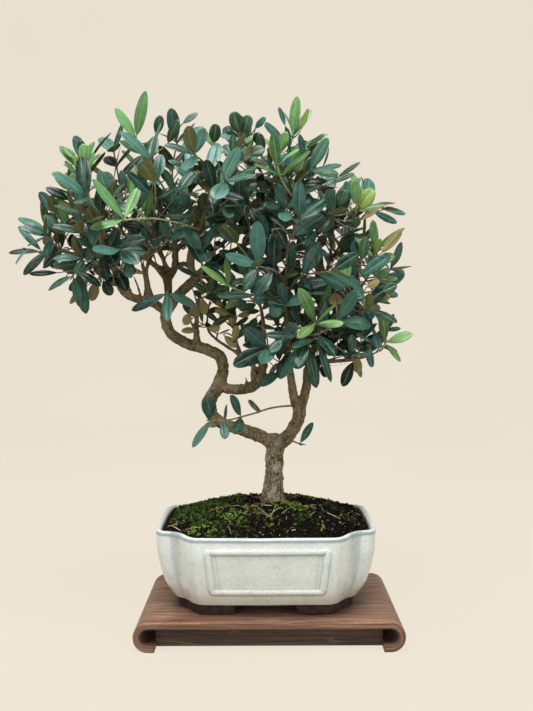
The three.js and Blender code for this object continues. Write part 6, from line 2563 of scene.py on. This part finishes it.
    def _litter(self) -> None:
        """Lays a few pale rootlets, bits of twig and blades of grass on the soil."""
        skin = Skin()
        for x, y, share, dice in self._places(53, self.bits_tried):
            length = 4 + 12 * dice.roll() ** 1.6
            turn = dice.spread(math.pi)
            radius = 0.16 + 0.3 * dice.roll() ** 2
            line = []
            for i in range(4):
                t = i / 3 - 0.5
                px, py = x + math.cos(turn) * t * length, y + math.sin(turn) * t * length + dice.spread(0.7)
                share = self._share(px, py)
                if share > self.edge_share:
                    break
                line.append([px, py, self.height(px, py, share) + radius + 0.3 + 0.5 * dice.roll(), radius])
            if len(line) > 2:
                points, faces = tube(np.array(line), 5, 1.6)
                skin.add(points, faces, 0 if dice.roll() < 0.45 else 1, along=0.5, tone=0.5)
        dice = Dice(59)
        for x, y, lean_x, lean_y, tall in GRASS:
            z = self.height(x, y, self._share(x, y)) - 1
            rise = ((0, 0, 0.5), (0.45, 0.45, 0.44), (0.8, 0.78, 0.32), (1.15, 1 + dice.spread(0.1), 0.12))
            line = [[x + lean_x * out, y + lean_y * out, z + tall * up, radius] for out, up, radius in rise]
            points, faces = tube(np.array(line, float), 4, 1.5)
            skin.add(points, faces, 2, along=0.7, tone=0.6)
        f = self.finishes
        skin.piece("grass_and_fallen_bits", [f.rootlet, f.chip, f.grass], "soil")


# ---------------------------------------------------------------- stand
@dataclass
class Stand:
    """The wooden display stand, a board whose ends roll under into feet, in millimetres."""

    finishes: Finishes
    length: float = 248.0
    depth: float = 136.0
    height: float = 27.5
    plate: float = 6.8
    lip: float = 5.8
    apron_y: float = 54.5
    apron_thickness: float = 6.0
    steps: int = 44
    sharpest: float = math.radians(38)

    def dress(self) -> None:
        """Makes the board."""
        outside, inside = self._line(self.height / 2), self._line(self.height / 2 - self.plate)
        profile = np.vstack([outside, inside[::-1]])
        run = reached(outside) * MM
        inward = outward(profile)
        half, count = self.depth / 2, len(profile)
        rounding = ((0.0, 1.1), (0.25, 0.55), (0.7, 0.15), (1.3, 0.0))
        stations = [(-half + d, inset) for d, inset in rounding]
        stations += [(y, 0.0) for y in np.linspace(-half + 6, half - 6, 13)]
        stations += [(half - d, inset) for d, inset in reversed(rounding)]
        rings = []
        for y, inset in stations:
            ring = profile + inward * inset
            rings.append(np.column_stack([ring[:, 0], np.full(count, y), ring[:, 1]]))
        # How much each ring's rounded edge is painted darker: the front fully, the back half.
        edge_darkening = [1.0 if inset > 0.1 and y < 0 else 0.5 if inset > 0.1 else 0.0 for y, inset in stations]
        faces = turned_over(banded(len(stations) - 1, count))
        skin = Skin()
        ply = np.concatenate([np.zeros(len(outside)), np.full(len(inside), 3.0)])
        shade = np.concatenate([np.zeros(len(outside)), np.full(len(inside), 0.7)])
        skin.add(np.vstack(rings), faces, 0, ply=np.tile(ply, len(rings)), edge=np.repeat(edge_darkening, count),
                 run=np.tile(np.concatenate([run, run[::-1]]), len(rings)), shade=np.tile(shade, len(rings)))
        self._end_grain(skin, 0, rings[0], run, True)
        self._end_grain(skin, (len(rings) - 1) * count, rings[-1], run, False)
        for face in (-1, 1):
            self._apron(skin, face)
        made = skin.piece("display_stand_wood", [self.finishes.stand], "stand_wood", "display_stand")
        made.data.set_sharp_from_angle(angle=self.sharpest)

    def _apron(self, skin: Skin, face: int) -> None:
        """Adds the board set back under the front (-1) or back (1) edge, between the scrolls.

        Args:
            skin: what it is added to.
            face: which edge.
        """
        reach = (self.length - self.height) / 2 - self.lip + 0.4
        near, far, top = self.apron_y, self.apron_y - self.apron_thickness, self.height - self.plate + 0.8
        section = ((near, top), (near, 1.7), (near - 0.5, 0.8), (far + 0.5, 0.8), (far, 1.5), (far, top))
        depth = [(top - z) * 0.11 for _, z in section]
        places = np.linspace(-reach, reach, 61)
        wide = len(section)
        points = np.array([(x, face * y, z) for x in places for y, z in section])
        faces = turned_over(banded(len(places) - 1, wide))
        faces += [tuple(range(wide)), tuple(range(len(points) - 1, len(points) - 1 - wide, -1))]
        if face < 0:
            faces = [tuple(reversed(one)) for one in faces]
        skin.add(points, faces, 0, run=points[:, 0] * MM, ply=np.tile(depth, len(places)),
                 shade=0.7 + 0.3 * points[:, 2] / top)

    def _line(self, radius: float) -> Array:
        """Gives one side of the board seen from the front, from the left lip over the top to the right one.

        Args:
            radius: of its roll.

        Returns:
            Rows of x and z, as many for any radius.
        """
        middle, centre = self.height / 2, (self.length - self.height) / 2
        roll = [(centre + radius * math.cos(t), middle + radius * math.sin(t))
                for t in np.linspace(math.pi / 2, -math.pi / 2, self.steps + 1)]
        right = [(centre * i / 24, middle + radius) for i in range(24)]
        right += [*roll, (centre - self.lip, middle - radius)]
        return np.array([(-x, z) for x, z in reversed(right[1:])] + right)

    def _end_grain(self, skin: Skin, start: int, ring: Array, run: Array, front: bool) -> None:
        """Closes the front or back edge, whose plies follow the board and its rolled ends.

        Args:
            skin: the board's skin.
            start: the number of the ring's first vertex.
            ring: the edge's outline, its outside first and its inside back again.
            run: places along the board, in metres.
            front: whether it faces the front.
        """
        wide = len(ring) // 2
        outside, inside = ring[:wide], ring[wide:][::-1]
        rows = [[start + k for k in range(wide)]]
        for share in np.linspace(0, 1, 8)[1:-1]:
            rows.append(list(range(len(skin.points), len(skin.points) + wide)))
            ring = outside * (1 - share) + inside * share
            # The plies near the outline are painted darker with the rounded edges.
            skin.add(ring, [], 0, ply=share * 3, edge=max(0.0, 0.8 - share * 6), run=run)
        rows.append([start + 2 * wide - 1 - k for k in range(wide)])
        for one, two in zip(rows, rows[1:]):
            for k in range(wide - 1):
                face = (one[k], two[k], two[k + 1], one[k + 1])
                skin.faces.append(face if front else tuple(reversed(face)))
                skin.slots.append(0)


# ---------------------------------------------------------------- studio
@dataclass(frozen=True)
class Softbox:
    """A square soft light.

    Attributes:
        name: its name.
        place: where it hangs, in metres about the stand's middle.
        size: its side.
        watts: its power.
        tint: its colour.
    """

    name: str
    place: Triple
    size: float
    watts: float
    tint: Triple = (1.0, 1.0, 1.0)


SOFTBOXES = (
    Softbox("overhead", (-0.15, -0.45, 1.5), 0.9, 36),
    Softbox("front_left", (-1.2, -1.5, 0.9), 0.9, 9, (1.0, 0.99, 0.97)),
    Softbox("front_right", (1.3, -1.1, 0.9), 0.9, 10, (0.98, 0.99, 1.0)),
)


@dataclass
class Studio:
    """Paper backdrop, soft lights and the camera."""

    finishes: Finishes
    paper_half_width: float = 6.0
    paper_front: float = -4.0
    paper_back: float = 2.4
    paper_top: float = 5.0
    sweep_radius: float = 1.2
    surround: tuple[float, float, float, float] = (0.97, 0.96, 0.94, 1.0)
    surround_strength: float = 0.12
    aimed_at: Triple = (0.0, 0.0, 0.26)
    camera_place: Triple = (-0.0015, -0.765, 0.3035)
    focal_length: float = 39.0
    lens_shift: float = -0.053
    tilt: float = math.radians(0.2)

    def dress(self) -> None:
        """Sets the studio round the part."""
        self._backdrop()
        self._lights()
        self._camera()

    def _backdrop(self) -> None:
        """Lays one sheet of paper that sweeps up behind the part."""
        radius, start = self.sweep_radius, self.paper_back - self.sweep_radius
        line = [(self.paper_front, 0.0), (start, 0.0)]
        line += [(start + radius * math.sin(t), radius - radius * math.cos(t))
                 for t in np.linspace(0, math.pi / 2, 24)[1:]]
        line.append((self.paper_back, self.paper_top))
        points = [(x, y, z) for y, z in line for x in (-self.paper_half_width, self.paper_half_width)]
        faces = [(2 * i, 2 * i + 1, 2 * i + 3, 2 * i + 2) for i in range(len(line) - 1)]
        mesh = bpy.data.meshes.new("backdrop")
        mesh.from_pydata(points, [], faces)
        mesh.shade_smooth()
        made = placed("backdrop", mesh)
        made.data.materials.append(self.finishes.paper)

    def _lights(self) -> None:
        """Hangs the softboxes and sets a pale surround."""
        for box in SOFTBOXES:
            lamp = bpy.data.lights.new(box.name, "AREA")
            lamp.shape = "SQUARE"
            lamp.size = box.size
            lamp.energy = box.watts
            lamp.color = box.tint
            made = placed(box.name, lamp)
            made.location = Vector(box.place) + Vector(SHIFT)
            aim = Vector(self.aimed_at) + Vector(SHIFT) - made.location
            made.rotation_euler = aim.to_track_quat("-Z", "Y").to_euler()
        world = bpy.data.worlds.new("pale_room")
        world.use_nodes = True
        background = world.node_tree.nodes["Background"]
        background.inputs["Color"].default_value = self.surround
        background.inputs["Strength"].default_value = self.surround_strength
        bpy.context.scene.world = world
        bpy.context.scene.view_settings.view_transform = "Standard"

    def _camera(self) -> None:
        """Puts the camera in front of the pot, level, and low enough to look just down on the soil."""
        lens = bpy.data.cameras.new("camera")
        lens.lens = self.focal_length
        lens.sensor_width = 36.0
        lens.shift_y = self.lens_shift
        made = placed("camera", lens)
        made.location = Vector(self.camera_place) + Vector(SHIFT)
        made.rotation_euler = Euler((math.pi / 2, self.tilt, 0.0))
        bpy.context.scene.camera = made


def main() -> None:
    """Dresses the whole part in order."""
    finishes = Finishes()
    Studio(finishes).dress()
    Stand(finishes).dress()
    Pot(finishes).dress()
    DrainScreens(finishes).dress()
    Soil(finishes).dress()
    Wood(finishes).dress()
    Foliage(finishes, Growth()).dress()


if __name__ == "__main__":
    main()
